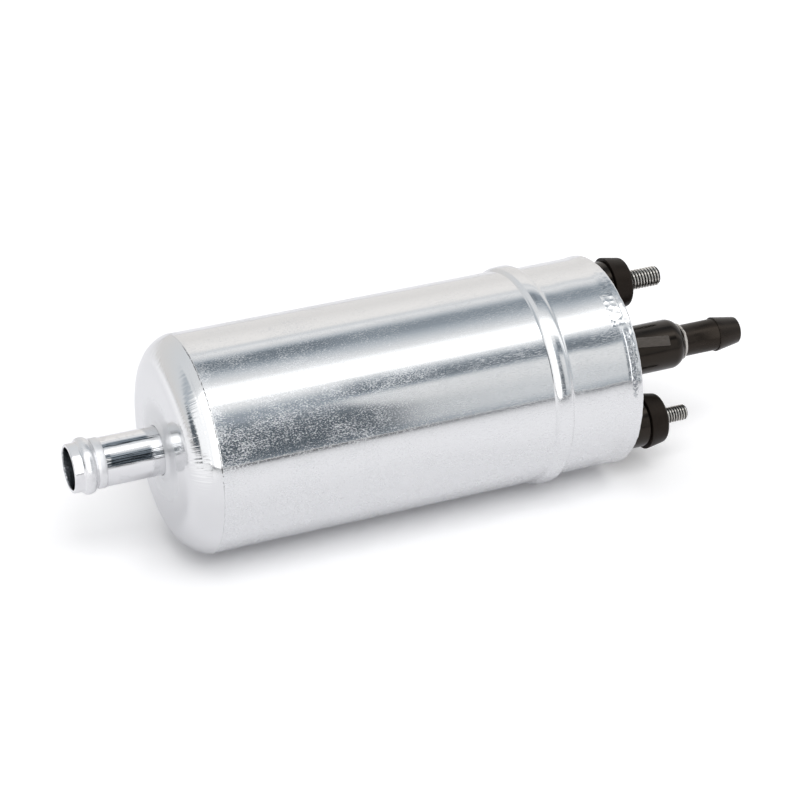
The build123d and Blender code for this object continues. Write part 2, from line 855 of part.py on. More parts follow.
with BuildPart() as commutator_hub:
    x_copper = x_commutator - commutator_t
    revolve(
        outline(
            (x_wound, shaft_r + press_gap),
            (x_nose, shaft_r + press_gap),
            (x_nose, washer_r),
            (x_copper, washer_r),
            (x_copper, commutator_r),
            (x_wound + commutator_hub_t / 3, commutator_r),
            (x_wound, winding_bore_r),
        ),
        axis=Axis.X,
    )
save(commutator_hub, "commutator_hub")

with BuildPart() as commutator_segments:
    with BuildSketch(across(x_copper)):
        Circle(commutator_r)
        Circle(commutator_bore_r, mode=Mode.SUBTRACT)
        with PolarLocations(0, core_slots):
            with Locations(((commutator_r + commutator_bore_r) / 2, 0)):
                Rectangle(commutator_r, commutator_slot, mode=Mode.SUBTRACT)
    extrude(amount=commutator_t)
save(commutator_segments, "commutator_segments")

# brush gear: brushes run along the axis onto the face of the commutator
brush_angles = {"a": terminal_angle + 90, "b": terminal_angle + 270}
x_tube = x_commutator + brush_tube_gap
tube_radial = brush_radial + 2 * slip_gap + 2 * brush_tube_wall
tube_wide = brush_wide + 2 * slip_gap + 2 * brush_tube_wall

with BuildPart() as brush_plate:
    revolve(
        outline(
            (x_flux1, stage_r - plate_ring_wall),
            (x_flux1, stage_r),
            (x_cap, stage_r),
            (x_cap, cavity_r - slip_gap),
            (x_web1, cavity_r - slip_gap),
            (x_web1, bearing_boss_r),
            (x_bush1, bearing_boss_r),
            (x_bush1, 0),
            (x_web, 0),
            (x_web, stage_r - plate_ring_wall),
        ),
        axis=Axis.X,
    )
    for angle in brush_angles.values():
        with BuildSketch(off_axis(x_tube, brush_circle_r, angle)):
            Rectangle(tube_radial, tube_wide)
        extrude(amount=brush_tube_length)
    for angle in brush_angles.values():
        with BuildSketch(off_axis(x_tube, brush_circle_r, angle)):
            Rectangle(brush_radial + 2 * slip_gap, brush_wide + 2 * slip_gap)
        extrude(amount=brush_tube_length, mode=Mode.SUBTRACT)
    with BuildSketch(across(x_tube)):
        Circle(washer_r + free_gap)
    extrude(amount=x_bush - x_tube, mode=Mode.SUBTRACT)
    with BuildSketch(across(x_bush)):
        Circle(bush_r + press_gap)
    extrude(amount=bush_length, mode=Mode.SUBTRACT)
    for angle in (terminal_angle, terminal_angle + 180):
        window = kidney(0, window_r, window_width, angle - window_sweep / 2, window_sweep, port_corner_r)
        with BuildSketch(across(x_web)):
            add(window)
        extrude(amount=plate_web_t, mode=Mode.SUBTRACT)
save(brush_plate, "brush_plate")

for letter, angle in brush_angles.items():
    with BuildPart() as brush:
        with BuildSketch(off_axis(x_brush, brush_circle_r, angle)):
            Rectangle(brush_radial, brush_wide)
        extrude(amount=brush_length)
    save(brush, f"brush_{letter}")
    brush_spring = coil(
        off_axis(0, brush_circle_r, angle),
        x_brush1 + seat_gap,
        x_cap_in - seat_gap,
        brush_spring_r,
        brush_wire_r,
        brush_turns,
    )
    save(brush_spring, f"brush_spring_{letter}")

# suppression chokes, one in line with each terminal
terminal_angles = {"m5": terminal_angle, "m4": terminal_angle + 180}
x_stud_head = x_cap_in - stud_head_t
for letter, angle in zip(("a", "b"), terminal_angles.values()):
    with BuildPart() as choke_core:
        with BuildSketch(off_axis(x_web1, terminal_circle_r, angle)):
            Circle(choke_core_r)
        extrude(amount=x_stud_head - x_web1)
    save(choke_core, f"choke_core_{letter}")
    with BuildPart() as choke_winding:
        with BuildSketch(off_axis(x_web1 + choke_end, terminal_circle_r, angle)):
            Circle(choke_winding_r)
            Circle(choke_core_r + press_gap, mode=Mode.SUBTRACT)
        extrude(amount=x_stud_head - x_web1 - 2 * choke_end)
    save(choke_winding, f"choke_winding_{letter}")

# end cap: skirt, seal groove, terminal bosses and the outlet tower in one moulding
stud_sizes = {
    "m5": (m5_r, m5_out, m5_washer_r, m5_nut_key, m5_nut_h),
    "m4": (m4_r, m4_out, m4_washer_r, m4_nut_key, m4_nut_h),
}
cap_groove_half = cap_seal_cord_r + slip_gap
x_cap_seal = x_flare - cap_seal_land - cap_groove_half
cap_groove_r = rear_r - can_wall - 2 * cap_seal_cord_r - 2 * seat_gap
tower_arc_reach = math.sqrt(tower_round**2 - (tower_neck_r - tower_r + tower_round) ** 2)
tower_centre = (x_tower - tower_arc_reach, tower_r - tower_round)
tower_turn = math.degrees(math.acos(tower_arc_reach / tower_round))
x_valve_end = x_tower - valve_neck_wall

with BuildPart() as end_cap:
    x_under_lip = x_rim - can_wall - slip_gap
    flange_r = rim_r - can_wall - slip_gap
    face_r = crimp_lip_r - 4 * slip_gap
    with BuildSketch(Plane.XZ):
        with BuildLine():
            Polyline(
                (x_tower, 0),
                (x_cap_in, 0),
                (x_cap_in, cavity_r),
                (x_cap, cavity_r),
                (x_cap, skirt_r),
                (x_cap_seal - cap_groove_half, skirt_r),
                (x_cap_seal - cap_groove_half, cap_groove_r),
                (x_cap_seal + cap_groove_half, cap_groove_r),
                (x_cap_seal + cap_groove_half, skirt_r),
                (x_flare, skirt_r),
                (x_under_lip, flange_r),
                (x_under_lip, face_r),
                (x_cap_face, face_r),
                (x_cap_face, tower_r),
                (tower_centre[0], tower_r),
            )
            ThreePointArc(
                (tower_centre[0], tower_r),
                on_arc(tower_centre, tower_round, (90 + tower_turn) / 2),
                (x_tower, tower_neck_r),
            )
            Line((x_tower, tower_neck_r), (x_tower, 0))
        make_face()
    revolve(axis=Axis.X)
    for angle in terminal_angles.values():
        with BuildSketch(off_axis(x_cap_face, terminal_circle_r, angle)):
            Circle(terminal_boss_r)
        extrude(amount=terminal_boss_length)
    for size, angle in terminal_angles.items():
        stud_r = stud_sizes[size][0]
        seal_pocket_r = stud_r + 2 * stud_seal_cord_r + 3 * seat_gap
        with BuildSketch(off_axis(x_cap_in, terminal_circle_r, angle)):
            Circle(stud_r + slip_gap)
        extrude(amount=x_terminal - x_cap_in, mode=Mode.SUBTRACT)
        with BuildSketch(off_axis(x_cap_in, terminal_circle_r, angle)):
            Circle(seal_pocket_r)
        extrude(amount=2 * stud_seal_cord_r + seat_gap, mode=Mode.SUBTRACT)
        with BuildSketch(off_axis(x_stud_head, terminal_circle_r, angle)):
            Circle(stud_head_r + slip_gap)
        extrude(amount=stud_head_t, mode=Mode.SUBTRACT)
    rib_length = x_tower - rib_short_of_end - x_cap_face
    rib_base_r = (tower_r + valve_bore_r) / 2
    rib_angle = math.radians(terminal_angle + rib_turn)
    rib_out = (0, math.cos(rib_angle), math.sin(rib_angle))
    rib_place = Plane(
        origin=(x_cap_face + rib_length / 2, rib_base_r * rib_out[1], rib_base_r * rib_out[2]),
        x_dir=(1, 0, 0),
        z_dir=rib_out,
    )
    with BuildSketch(rib_place):
        Rectangle(rib_length, rib_width, rotation=-rib_skew)
    extrude(amount=tower_r + rib_rise - rib_base_r)
    with BuildSketch(across(x_cap_in)):
        Circle(valve_bore_r)
    extrude(amount=x_valve_end - x_cap_in, mode=Mode.SUBTRACT)
    with BuildSketch(across(x_valve_end)):
        Circle(spigot_r + press_gap)
    extrude(amount=valve_neck_wall, mode=Mode.SUBTRACT)
save(end_cap, "end_cap")

cap_seal_ring = cord_ring(across(x_cap_seal), rear_r - can_wall - seat_gap - cap_seal_cord_r, cap_seal_cord_r)
save(cap_seal_ring, "cap_seal_ring")

# terminals: stud, seal, washer, nut and boot
for size, angle in terminal_angles.items():
    stud_r, stud_out, washer_out_r, nut_key, nut_h = stud_sizes[size]
    groove_r = stud_r - stud_groove
    x_stud_tip = x_terminal + stud_out
    with BuildPart() as stud:
        with BuildSketch(off_axis(x_stud_head, terminal_circle_r, angle)):
            Circle(stud_head_r)
        extrude(amount=stud_head_t)
        with BuildSketch(off_axis(x_stud_head, terminal_circle_r, angle)):
            Circle(stud_r)
        extrude(amount=x_stud_tip - x_stud_head)
        chamfer(stud.faces().sort_by(Axis.X)[-1].edges(), stud_chamfer)
        with BuildSketch(off_axis(x_boot1 - boot_top_wall - slip_gap, terminal_circle_r, angle)):
            Circle(stud_r + slip_gap)
            Circle(groove_r, mode=Mode.SUBTRACT)
        extrude(amount=boot_top_wall + 2 * slip_gap, mode=Mode.SUBTRACT)
    save(stud, f"terminal_stud_{size}")
    seal = cord_ring(
        off_axis(x_cap_in + stud_seal_cord_r + seat_gap / 2, terminal_circle_r, angle),
        stud_r + seat_gap + stud_seal_cord_r,
        stud_seal_cord_r,
    )
    save(seal, f"stud_seal_{size}")
    with BuildPart() as washer:
        with BuildSketch(off_axis(x_terminal, terminal_circle_r, angle)):
            Circle(washer_out_r)
            Circle(stud_r + slip_gap, mode=Mode.SUBTRACT)
        extrude(amount=terminal_washer_t)
    save(washer, f"stud_washer_{size}")
    with BuildPart() as nut:
        with BuildSketch(off_axis(x_terminal + terminal_washer_t, terminal_circle_r, angle)):
            RegularPolygon(nut_key / 2, 6, major_radius=False)
            Circle(stud_r + press_gap, mode=Mode.SUBTRACT)
        extrude(amount=nut_h)
    save(nut, f"stud_nut_{size}")
    with BuildPart() as boot:
        boot_lean = math.degrees(math.atan((boot_r - boot_top_r) / boot_length))
        with BuildSketch(off_axis(x_terminal, terminal_circle_r, angle)):
            Circle(boot_r)
        extrude(amount=boot_length, taper=boot_lean)
        fillet(boot.faces().sort_by(Axis.X)[-1].edges(), boot_edge_r)
        with BuildSketch(off_axis(x_terminal, terminal_circle_r, angle)):
            Circle(boot_cavity_r)
        extrude(amount=boot_length - boot_top_wall, mode=Mode.SUBTRACT)
        with BuildSketch(off_axis(x_terminal, terminal_circle_r, angle)):
            Circle(groove_r + slip_gap)
        extrude(amount=boot_length, mode=Mode.SUBTRACT)
    save(boot, f"terminal_boot_{size}")

# non-return valve: seat pressed in the tower, plunger with its seal, and a spring
with BuildPart() as valve_seat:
    revolve(ring(x_cap_in, x_seat, valve_bore_r - press_gap, valve_port_r), axis=Axis.X)
save(valve_seat, "valve_seat")

x_valve_seal = x_seat + seat_gap
x_head = x_valve_seal + valve_seal_t
x_head1 = x_head + valve_head_t
head_across = 2 * (valve_bore_r - free_gap - valve_head_inset)
with BuildPart() as valve_seal:
    valve_seal_r = valve_bore_r - valve_seal_inset
    revolve(ring(x_valve_seal, x_head, valve_seal_r, valve_stub_r + press_gap), axis=Axis.X)
save(valve_seal, "valve_seal")

with BuildPart() as valve_plunger:
    with BuildSketch(across(x_valve_seal - valve_stub_length)):
        Circle(valve_stub_r)
    extrude(amount=x_head - x_valve_seal + valve_stub_length)
    with BuildSketch(across(x_head)):
        Circle(valve_bore_r - free_gap)
        Rectangle(head_across, head_across, mode=Mode.INTERSECT)
    extrude(amount=valve_head_t)
    with BuildSketch(across(x_head1)):
        Circle(valve_stem_r)
    extrude(amount=valve_stem_length)
save(valve_plunger, "valve_plunger")

x_spigot = x_tower - spigot_length
valve_spring = coil(
    across(0),
    x_head1 + seat_gap,
    x_spigot - seat_gap,
    valve_spring_r,
    valve_wire_r,
    valve_turns,
)
save(valve_spring, "valve_spring")

# outlet fitting: barbed tube, its spigot bonded in the tower's neck
with BuildPart() as outlet_fitting:
    barb_r = outlet_r + barb_rise
    barb_tip_r = barb_r - barb_taper
    with BuildSketch(Plane.XZ) as outlet_half:
        with BuildLine():
            Polyline(
                (x_spigot, outlet_r - outlet_wall),
                (x_spigot, spigot_r),
                (x_tower, spigot_r),
                (x_tower, outlet_r),
                (x_outlet, outlet_r),
                (x_outlet, barb_r),
                (x_outlet + barb_edge, barb_r),
                (x_tip, barb_tip_r),
                (x_tip, outlet_r - outlet_wall),
                close=True,
            )
        make_face()
        fillet(outlet_half.vertices().sort_by_distance((x_tip, barb_tip_r))[0], tip_round)
    revolve(axis=Axis.X)
save(outlet_fitting, "outlet_fitting")

with BuildPart() as outlet_joint_ring:
    ring_in_r = outlet_r + press_gap
    with BuildSketch(Plane.XZ):
        with BuildLine():
            Polyline(
                (x_tower, ring_in_r),
                (x_tower + joint_ring_t, ring_in_r),
                (x_tower + joint_ring_t * 3 / 4, outlet_r + joint_ring_rise / 2),
                (x_tower + joint_ring_t / 2, outlet_r + joint_ring_rise),
                (x_tower, outlet_r + joint_ring_rise),
                close=True,
            )
        make_face()
    revolve(axis=Axis.X)
save(outlet_joint_ring, "outlet_joint_ring")
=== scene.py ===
import json
import logging
import math
from dataclasses import dataclass
from enum import Enum
from functools import partial, reduce

import bpy
from mathutils import Matrix, Vector


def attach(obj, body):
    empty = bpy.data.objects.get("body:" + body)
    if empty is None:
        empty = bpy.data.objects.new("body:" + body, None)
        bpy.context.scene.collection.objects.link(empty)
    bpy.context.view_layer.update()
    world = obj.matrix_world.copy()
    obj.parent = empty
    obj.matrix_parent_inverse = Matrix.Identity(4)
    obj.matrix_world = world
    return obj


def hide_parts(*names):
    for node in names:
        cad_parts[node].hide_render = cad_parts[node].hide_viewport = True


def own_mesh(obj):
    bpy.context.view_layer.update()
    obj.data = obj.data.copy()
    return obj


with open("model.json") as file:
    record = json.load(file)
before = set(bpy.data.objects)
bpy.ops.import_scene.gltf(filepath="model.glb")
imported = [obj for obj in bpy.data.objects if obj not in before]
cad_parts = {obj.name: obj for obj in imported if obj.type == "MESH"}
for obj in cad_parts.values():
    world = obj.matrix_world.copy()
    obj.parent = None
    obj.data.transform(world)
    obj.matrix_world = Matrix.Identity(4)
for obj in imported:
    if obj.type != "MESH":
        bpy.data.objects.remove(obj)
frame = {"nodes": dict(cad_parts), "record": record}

# In-line fuel pump: the finish of every surface, and the pieces that carry more detail
# than their solids. Metres, in the frame of the model: +X runs
# from the inlet to the outlet, and +Z is up. Angles round the axis are degrees from +Y
# towards +Z.

Colour = tuple[float, float, float]
Place = tuple[float, float, float]
Point = tuple[float, float]
Socket = bpy.types.NodeSocket
Piece = bpy.types.Object
Material = bpy.types.Material

log = logging.getLogger("fuel_pump")
MM = 0.001
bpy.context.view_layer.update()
WARM_GLINT: Colour = (1.0, 0.84, 0.70)


def shade(colour: Colour, share: float, lift: float = 0.0) -> Colour:
    """A colour scaled by a share and lifted by a little grey."""
    return tuple(min(1.0, c * share + lift) for c in colour)


def polar(radius: float, angle: float, centre: Point = (0.0, 0.0)) -> Point:
    """The point at a distance from a centre, at an angle in degrees."""
    turn = math.radians(angle)
    return centre[0] + radius * math.cos(turn), centre[1] + radius * math.sin(turn)


def turn_share(angle: float) -> float:
    """An angle in degrees as a share of the turn, which starts at -180 degrees."""
    return (angle + 180) / 360


class Grain(Enum):
    """How far the fine marks of a worked metal are drawn out along the axis."""

    SPECKLED = 1.0
    TURNED = 0.12


class Graph:
    """A node tree with short calls for the nodes that the looks share."""

    def __init__(self, tree: bpy.types.NodeTree) -> None:
        """Take a node tree and empty it."""
        self.tree = tree
        tree.nodes.clear()

    def put(self, target: Socket, value: object) -> None:
        """Give an input its value.

        Args:
            target: The input.
            value: A socket to join to it, a colour or a number.
        """
        if isinstance(value, Socket):
            self.tree.links.new(value, target)
        else:
            target.default_value = (*value, 1.0) if isinstance(value, tuple) else value

    def node(self, kind: str, inputs: dict[object, object], out: object = 0, **settings: object) -> Socket:
        """Add a node and set it up.

        Args:
            kind: The node's type, without the words that all of them start with.
            inputs: Values of its inputs, by name or number.
            out: The output that is wanted, by name or number.
            settings: The node's other settings.

        Returns:
            That output.
        """
        made = self.tree.nodes.new(f"ShaderNode{kind}")
        for name, value in settings.items():
            setattr(made, name, value)
        for name, value in inputs.items():
            self.put(made.inputs[name], value)
        return made.outputs[out]

    def show(self, kind: str, surface: Socket) -> None:
        """Make a shader the surface of the Material or the World."""
        self.put(self.tree.nodes.new(f"ShaderNodeOutput{kind}").inputs["Surface"], surface)

    def split(self, place: Socket) -> tuple[Socket, ...]:
        """The X, Y and Z of a place.

        Args:
            place: The socket that carries the place.

        Returns:
            The three sockets.
        """
        made = self.tree.nodes.new("ShaderNodeSeparateXYZ")
        self.put(made.inputs[0], place)
        return tuple(made.outputs)

    def maths(self, operation: str, *values: object) -> Socket:
        """One sum on sockets or numbers."""
        return self.node("Math", dict(enumerate(values)), operation=operation)

    def times(self, *values: object) -> Socket:
        """The product of sockets and numbers."""
        return reduce(partial(self.maths, "MULTIPLY"), values)

    def plus(self, *values: object) -> Socket:
        """The sum of sockets and numbers."""
        return reduce(partial(self.maths, "ADD"), values)

    def less(self, first: object, second: object) -> Socket:
        """The first value less the second."""
        return self.maths("SUBTRACT", first, second)

    def spread(
        self, value: Socket, low: float, high: float, to_low: float = 0.0, to_high: float = 1.0
    ) -> Socket:
        """Map the span from low to high onto another, eased at both ends and flat beyond them."""
        ends = {"Value": value, "From Min": low, "From Max": high, "To Min": to_low, "To Max": to_high}
        return self.node("MapRange", ends, interpolation_type="SMOOTHSTEP")

    def window(self, value: Socket, low: float, high: float, ease: float) -> Socket:
        """Be 1 between two values and 0 outside them, over edges as wide as ease."""
        fall = self.spread(value, high, high + ease, 1.0, 0.0)
        return self.times(self.spread(value, low - ease, low), fall)

    def mixed(self, share: object, first: object, second: object) -> Socket:
        """Mix two colours, each a socket or three numbers."""
        return self.node("Mix", {0: share, 6: first, 7: second}, 2, data_type="RGBA")

    def between(self, share: Socket, first: Socket, second: Socket) -> Socket:
        """Mix two numbers."""
        return self.node("Mix", {0: share, 2: first, 3: second})

    def either(self, share: Socket, first: Socket, second: Socket) -> Socket:
        """Mix two shaders."""
        return self.node("MixShader", {0: share, 1: first, 2: second})

    def ramp(self, share: Socket, *stops: Point) -> Socket:
        """Grey for each angle, faintly warm at the back and cooler where it is darker in front.

        Args:
            share: The angle as a share of the turn.
            stops: Angles in degrees, and how bright the room is there.

        Returns:
            The socket that carries the colour.
        """
        made = self.tree.nodes.new("ShaderNodeValToRGB")
        elements = made.color_ramp.elements
        elements.remove(elements[-1])
        for angle, level in stops:
            element = elements[0] if angle == stops[0][0] else elements.new(turn_share(angle))
            cool = -0.02 if angle < 48 else 0.01 + 0.19 * max(0.0, 1 - level / 0.9)
            element.position = turn_share(angle)
            element.color = (level * (1 - cool), level, level * (1 + cool), 1)
        self.put(made.inputs[0], share)
        return made.outputs[0]


class Nodes(Graph):
    """The node tree of a new material whose looks follow the place on the pump."""

    def __init__(self, name: str) -> None:
        """Make the material.

        Args:
            name: The material's name.
        """
        self.material = bpy.data.materials.new(name)
        self.material.use_nodes = True
        super().__init__(self.material.node_tree)
        self.shader = self.tree.nodes.new("ShaderNodeBsdfPrincipled")
        self.show("Material", self.shader.outputs[0])
        self.place = self.node("TexCoord", {}, "Object")
        self.x, self.y, self.z = self.split(self.place)

    def set(self, **values: object) -> None:
        """Set the shader's inputs, named with underscores for spaces."""
        for name, value in values.items():
            self.put(self.shader.inputs[name.replace("_", " ")], value)

    def scaled(self, along: float, across: float) -> Socket:
        """The place, scaled along the axis and across it."""
        return self.node("Mapping", {"Vector": self.place, "Scale": Vector((along, across, across))})

    def noise(self, size: float, stretch: float = 1.0, detail: float = 2.0, roughness: float = 0.5) -> Socket:
        """Fractal noise from 0 to 1.

        Args:
            size: The width of a mark, in metres.
            stretch: How many times longer than wide a mark is, along the axis.
            detail: How many finer layers the noise has.
            roughness: How strong the finer layers are.

        Returns:
            The socket that carries the noise.
        """
        place = self.scaled(1 / size / stretch, 1 / size)
        inputs = {"Vector": place, "Scale": 1.0, "Detail": detail, "Roughness": roughness}
        return self.node("TexNoise", inputs, "Fac")

    def lines(self, value: Socket, size: float, detail: float) -> Socket:
        """Noise that changes only with one value, with marks about size wide."""
        inputs = {"W": self.times(value, 1 / size), "Scale": 1.0, "Detail": detail}
        return self.node("TexNoise", inputs, "Fac", noise_dimensions="1D")

    def cells(self, size: float) -> Socket:
        """Sharp-edged facets about size wide, as crumpled sheet has."""
        return self.node("TexVoronoi", {"Vector": self.scaled(1 / size, 1 / size), "Scale": 1.0}, "Distance")

    def turn(self) -> Socket:
        """Angle of the place round the pump's axis."""
        return self.times(self.maths("ARCTAN2", self.z, self.y), 180 / math.pi)

    def radius(self, centre: Point = (0.0, 0.0)) -> Socket:
        """Distance of the place from an axis along X, which is the pump's own if no centre is given."""
        across, up = self.less(self.y, centre[0]), self.less(self.z, centre[1])
        return self.maths("SQRT", self.plus(self.times(across, across), self.times(up, up)))

    def bump(self, height: Socket, depth: float, strength: float) -> None:
        """Raise the surface by a height from 0 to 1, on top of what is there already.

        Args:
            height: The socket that carries the height.
            depth: What a height of 1 measures, in metres.
            strength: How much of it shows.
        """
        inputs = {"Height": height, "Distance": depth, "Strength": strength}
        for link in self.shader.inputs["Normal"].links:
            inputs["Normal"] = link.from_socket
        self.set(Normal=self.node("Bump", inputs))


@dataclass(frozen=True)
class CanFinish:
    """Drawn aluminium: a clear mirror skin over soft metal, broken by fine frosted specks.

    Attributes:
        colour: The metal's colour under the skin.
        bare: Its colour where the skin is worn off.
        line: Colour of the painted shade in the groove where the shoulder ends.
        painted_dark_colour: Colour of the dark reflection painted in the strip beside the rim.
        speck: Width of a speck.
        soft: Roughness under the mirror skin.
        swing: How far a speck moves that roughness.
        skin_rough: Roughness of the mirror skin.
        skin_index: How strongly the skin mirrors.
        wear: How much of the skin is off in a speck and on the face.
        crumple: Span along the axis and round it of the crumpled patch, in metres and degrees.
        scuff_and_dark_reflection: The same of the strip beside the rim: real scuffs, and a painted dark
            reflection.
    """

    colour: Colour = (0.655, 0.66, 0.67)
    bare: Colour = (0.78, 0.785, 0.795)
    # Painted shade of the groove where the shoulder ends.
    line: Colour = (0.02, 0.02, 0.022)
    # Painted dark reflection in the strip beside the rim.
    painted_dark_colour: Colour = (0.10, 0.12, 0.15)
    speck: float = 0.18 * MM
    soft: float = 0.25
    swing: float = 0.22
    skin_rough: float = 0.07
    skin_index: float = 4.0
    wear: float = 0.85
    crumple: tuple[float, float, float, float] = (59.7 * MM, 62.8 * MM, 116.0, 132.0)
    scuff_and_dark_reflection: tuple[float, float, float, float] = (61.9 * MM, 63.0 * MM, 138.0, 172.0)

    def make(self, shoulder_x: float, rim_x: float) -> Material:
        """Make the material.

        Args:
            shoulder_x: Where the shoulder meets the body.
            rim_x: Where the can ends.

        Returns:
            The material.
        """
        kit = Nodes("drawn_aluminium")
        along, turn = kit.x, kit.turn()
        short_specks = kit.noise(self.speck, 2.6, 3.0, 0.7)
        long_specks = kit.noise(self.speck * 0.9, 8.0, 3.0, 0.65)
        marks = kit.between(kit.spread(along, 4 * MM, 26 * MM), short_specks, long_specks)
        patches = kit.times(kit.less(kit.noise(6 * MM, 1.8, 4.0, 0.62), 0.5), 0.65)
        cloud = kit.spread(along, -41 * MM, -37 * MM, 0.10, 0.0)
        frost = kit.spread(kit.plus(kit.times(kit.less(marks, 0.5), 1.7), cloud, patches), -0.12, 0.34)
        seam = (shoulder_x - 0.1 * MM, shoulder_x + 0.1 * MM)
        amount = kit.times(
            kit.spread(along, -12 * MM, 24 * MM, 1.0, 0.45), kit.spread(along, *seam, 0.25, 1.0)
        )
        neck = kit.times(
            kit.spread(kit.radius(), 9 * MM, 14 * MM, 0.36, 0.0),
            kit.spread(along, shoulder_x - 6 * MM, shoulder_x - 5 * MM, 1.0, 0.0),
        )
        shift = kit.times(kit.times(amount, 2 * self.swing), kit.less(frost, 0.5))
        face = kit.spread(along, shoulder_x - 6.3 * MM, shoulder_x - 5.6 * MM, self.wear, 0.0)
        worn = kit.maths("MAXIMUM", kit.times(frost, amount, self.wear), face)
        # Painted shade in the groove where the shoulder ends, strongest on the turns that face the front.
        dark = kit.times(
            kit.window(along, shoulder_x - 0.10 * MM, shoulder_x + 0.14 * MM, 0.05 * MM),
            kit.spread(kit.noise(0.9 * MM, 0.5, 2.0, 0.7), 0.42, 0.50),
            kit.plus(kit.times(kit.window(turn, 98, 168, 10), 0.88), 0.10),
        )
        # Beside the rim: the bumps are real scuffs, and the speckled slate colour is a painted dark
        # reflection.
        scuff_and_reflection_marks = kit.noise(0.55 * MM, 1.0, 3.0, 0.65)
        low, high, start, end = self.scuff_and_dark_reflection
        painted_reflection_strip = kit.times(kit.window(along, low, high, 0.2 * MM), kit.window(turn, start, end, 3.0), 0.85)
        metal = kit.mixed(worn, self.colour, self.bare)
        metal = kit.mixed(kit.times(kit.spread(scuff_and_reflection_marks, 0.44, 0.54), painted_reflection_strip), metal, self.painted_dark_colour)
        kit.set(
            Base_Color=kit.mixed(dark, metal, self.line),
            Roughness=kit.plus(kit.spread(along, *seam, self.soft - 0.09, self.soft), neck, shift),
            Metallic=1.0,
            Coat_Weight=kit.less(1.0, worn),
            Coat_IOR=self.skin_index,
            Coat_Roughness=self.skin_rough,
        )
        turned = kit.spread(along, shoulder_x - 1 * MM, shoulder_x, 1.0, 0.0)
        pulled = kit.window(along, shoulder_x - 5.6 * MM, shoulder_x - 2.4 * MM, 0.6 * MM)
        rim = kit.spread(along, rim_x - 3.0 * MM, rim_x - 2.4 * MM)
        kit.bump(marks, 0.004 * MM, 0.15)
        kit.bump(kit.noise(4 * MM, 4.0, 1.0), 0.007 * MM, 0.6)
        kit.bump(kit.times(kit.lines(kit.radius(), 0.25 * MM, 2.0), turned), 0.003 * MM, 0.3)
        kit.bump(kit.times(kit.lines(turn, 2.0, 3.0), pulled), 0.14 * MM, 0.5)
        kit.bump(kit.times(kit.noise(0.6 * MM, 1.0, 2.0), rim), 0.03 * MM, 0.5)
        for (low, high, start, end), mark, depth in (
            (self.crumple, kit.cells(1.5 * MM), 0.20 * MM),
            (self.scuff_and_dark_reflection, scuff_and_reflection_marks, 0.05 * MM),
        ):
            where = kit.times(kit.window(along, low, high, 0.25 * MM), kit.window(turn, start, end, 2.5))
            kit.bump(kit.times(mark, where), depth, 0.8)
        kit.set(Coat_Normal=kit.shader.inputs["Normal"].links[0].from_socket)
        return kit.material


@dataclass(frozen=True)
class MetalFinish:
    """A worked metal with a fine grain."""

    colour: Colour
    roughness: float
    grain: Grain = Grain.SPECKLED
    mark: float = 0.3 * MM
    depth: float = 0.002 * MM

    def make(self, name: str) -> Material:
        """Make the material.

        Args:
            name: The material's name.

        Returns:
            The material.
        """
        kit = Nodes(name)
        marks = kit.noise(self.mark, self.grain.value, 3.0)
        wear = kit.noise(4 * MM, 1.0, 2.0)
        fine = kit.spread(marks, 0.3, 0.7, self.roughness * 0.6, self.roughness * 1.3)
        kit.set(
            Base_Color=kit.mixed(kit.spread(wear, 0.4, 0.75), self.colour, shade(self.colour, 0.82)),
            Roughness=kit.plus(fine, kit.spread(wear, 0.35, 0.65, -0.04, 0.04)),
            Metallic=1.0,
        )
        kit.bump(marks, self.depth, 0.6)
        return kit.material


@dataclass(frozen=True)
class PlasticFinish:
    """A moulded plastic, rubber or carbon: faint grain, slight mottle, soft gloss.

    Attributes:
        colour: The moulding's colour.
        roughness: Its mean roughness.
        grain: Width of a grain.
        depth: Depth of the grain.
        specular: Strength of its plain reflection.
    """

    colour: Colour
    roughness: float
    grain: float = 0.35 * MM
    depth: float = 0.006 * MM
    specular: float = 0.5

    def make(self, name: str) -> Material:
        """Make the material.

        Args:
            name: The material's name.

        Returns:
            The material.
        """
        kit = Nodes(name)
        mottle = kit.noise(3 * MM, 1.5, 2.0)
        pale = shade(self.colour, 1.25, 0.002)
        kit.set(
            Base_Color=kit.mixed(kit.spread(mottle, 0.35, 0.7), self.colour, pale),
            Roughness=kit.spread(mottle, 0.3, 0.7, self.roughness * 0.85, self.roughness * 1.2),
            Specular_IOR_Level=self.specular,
            Specular_Tint=WARM_GLINT,
        )
        kit.bump(kit.noise(self.grain, 1.0, 2.0), self.depth, 0.5)
        return kit.material


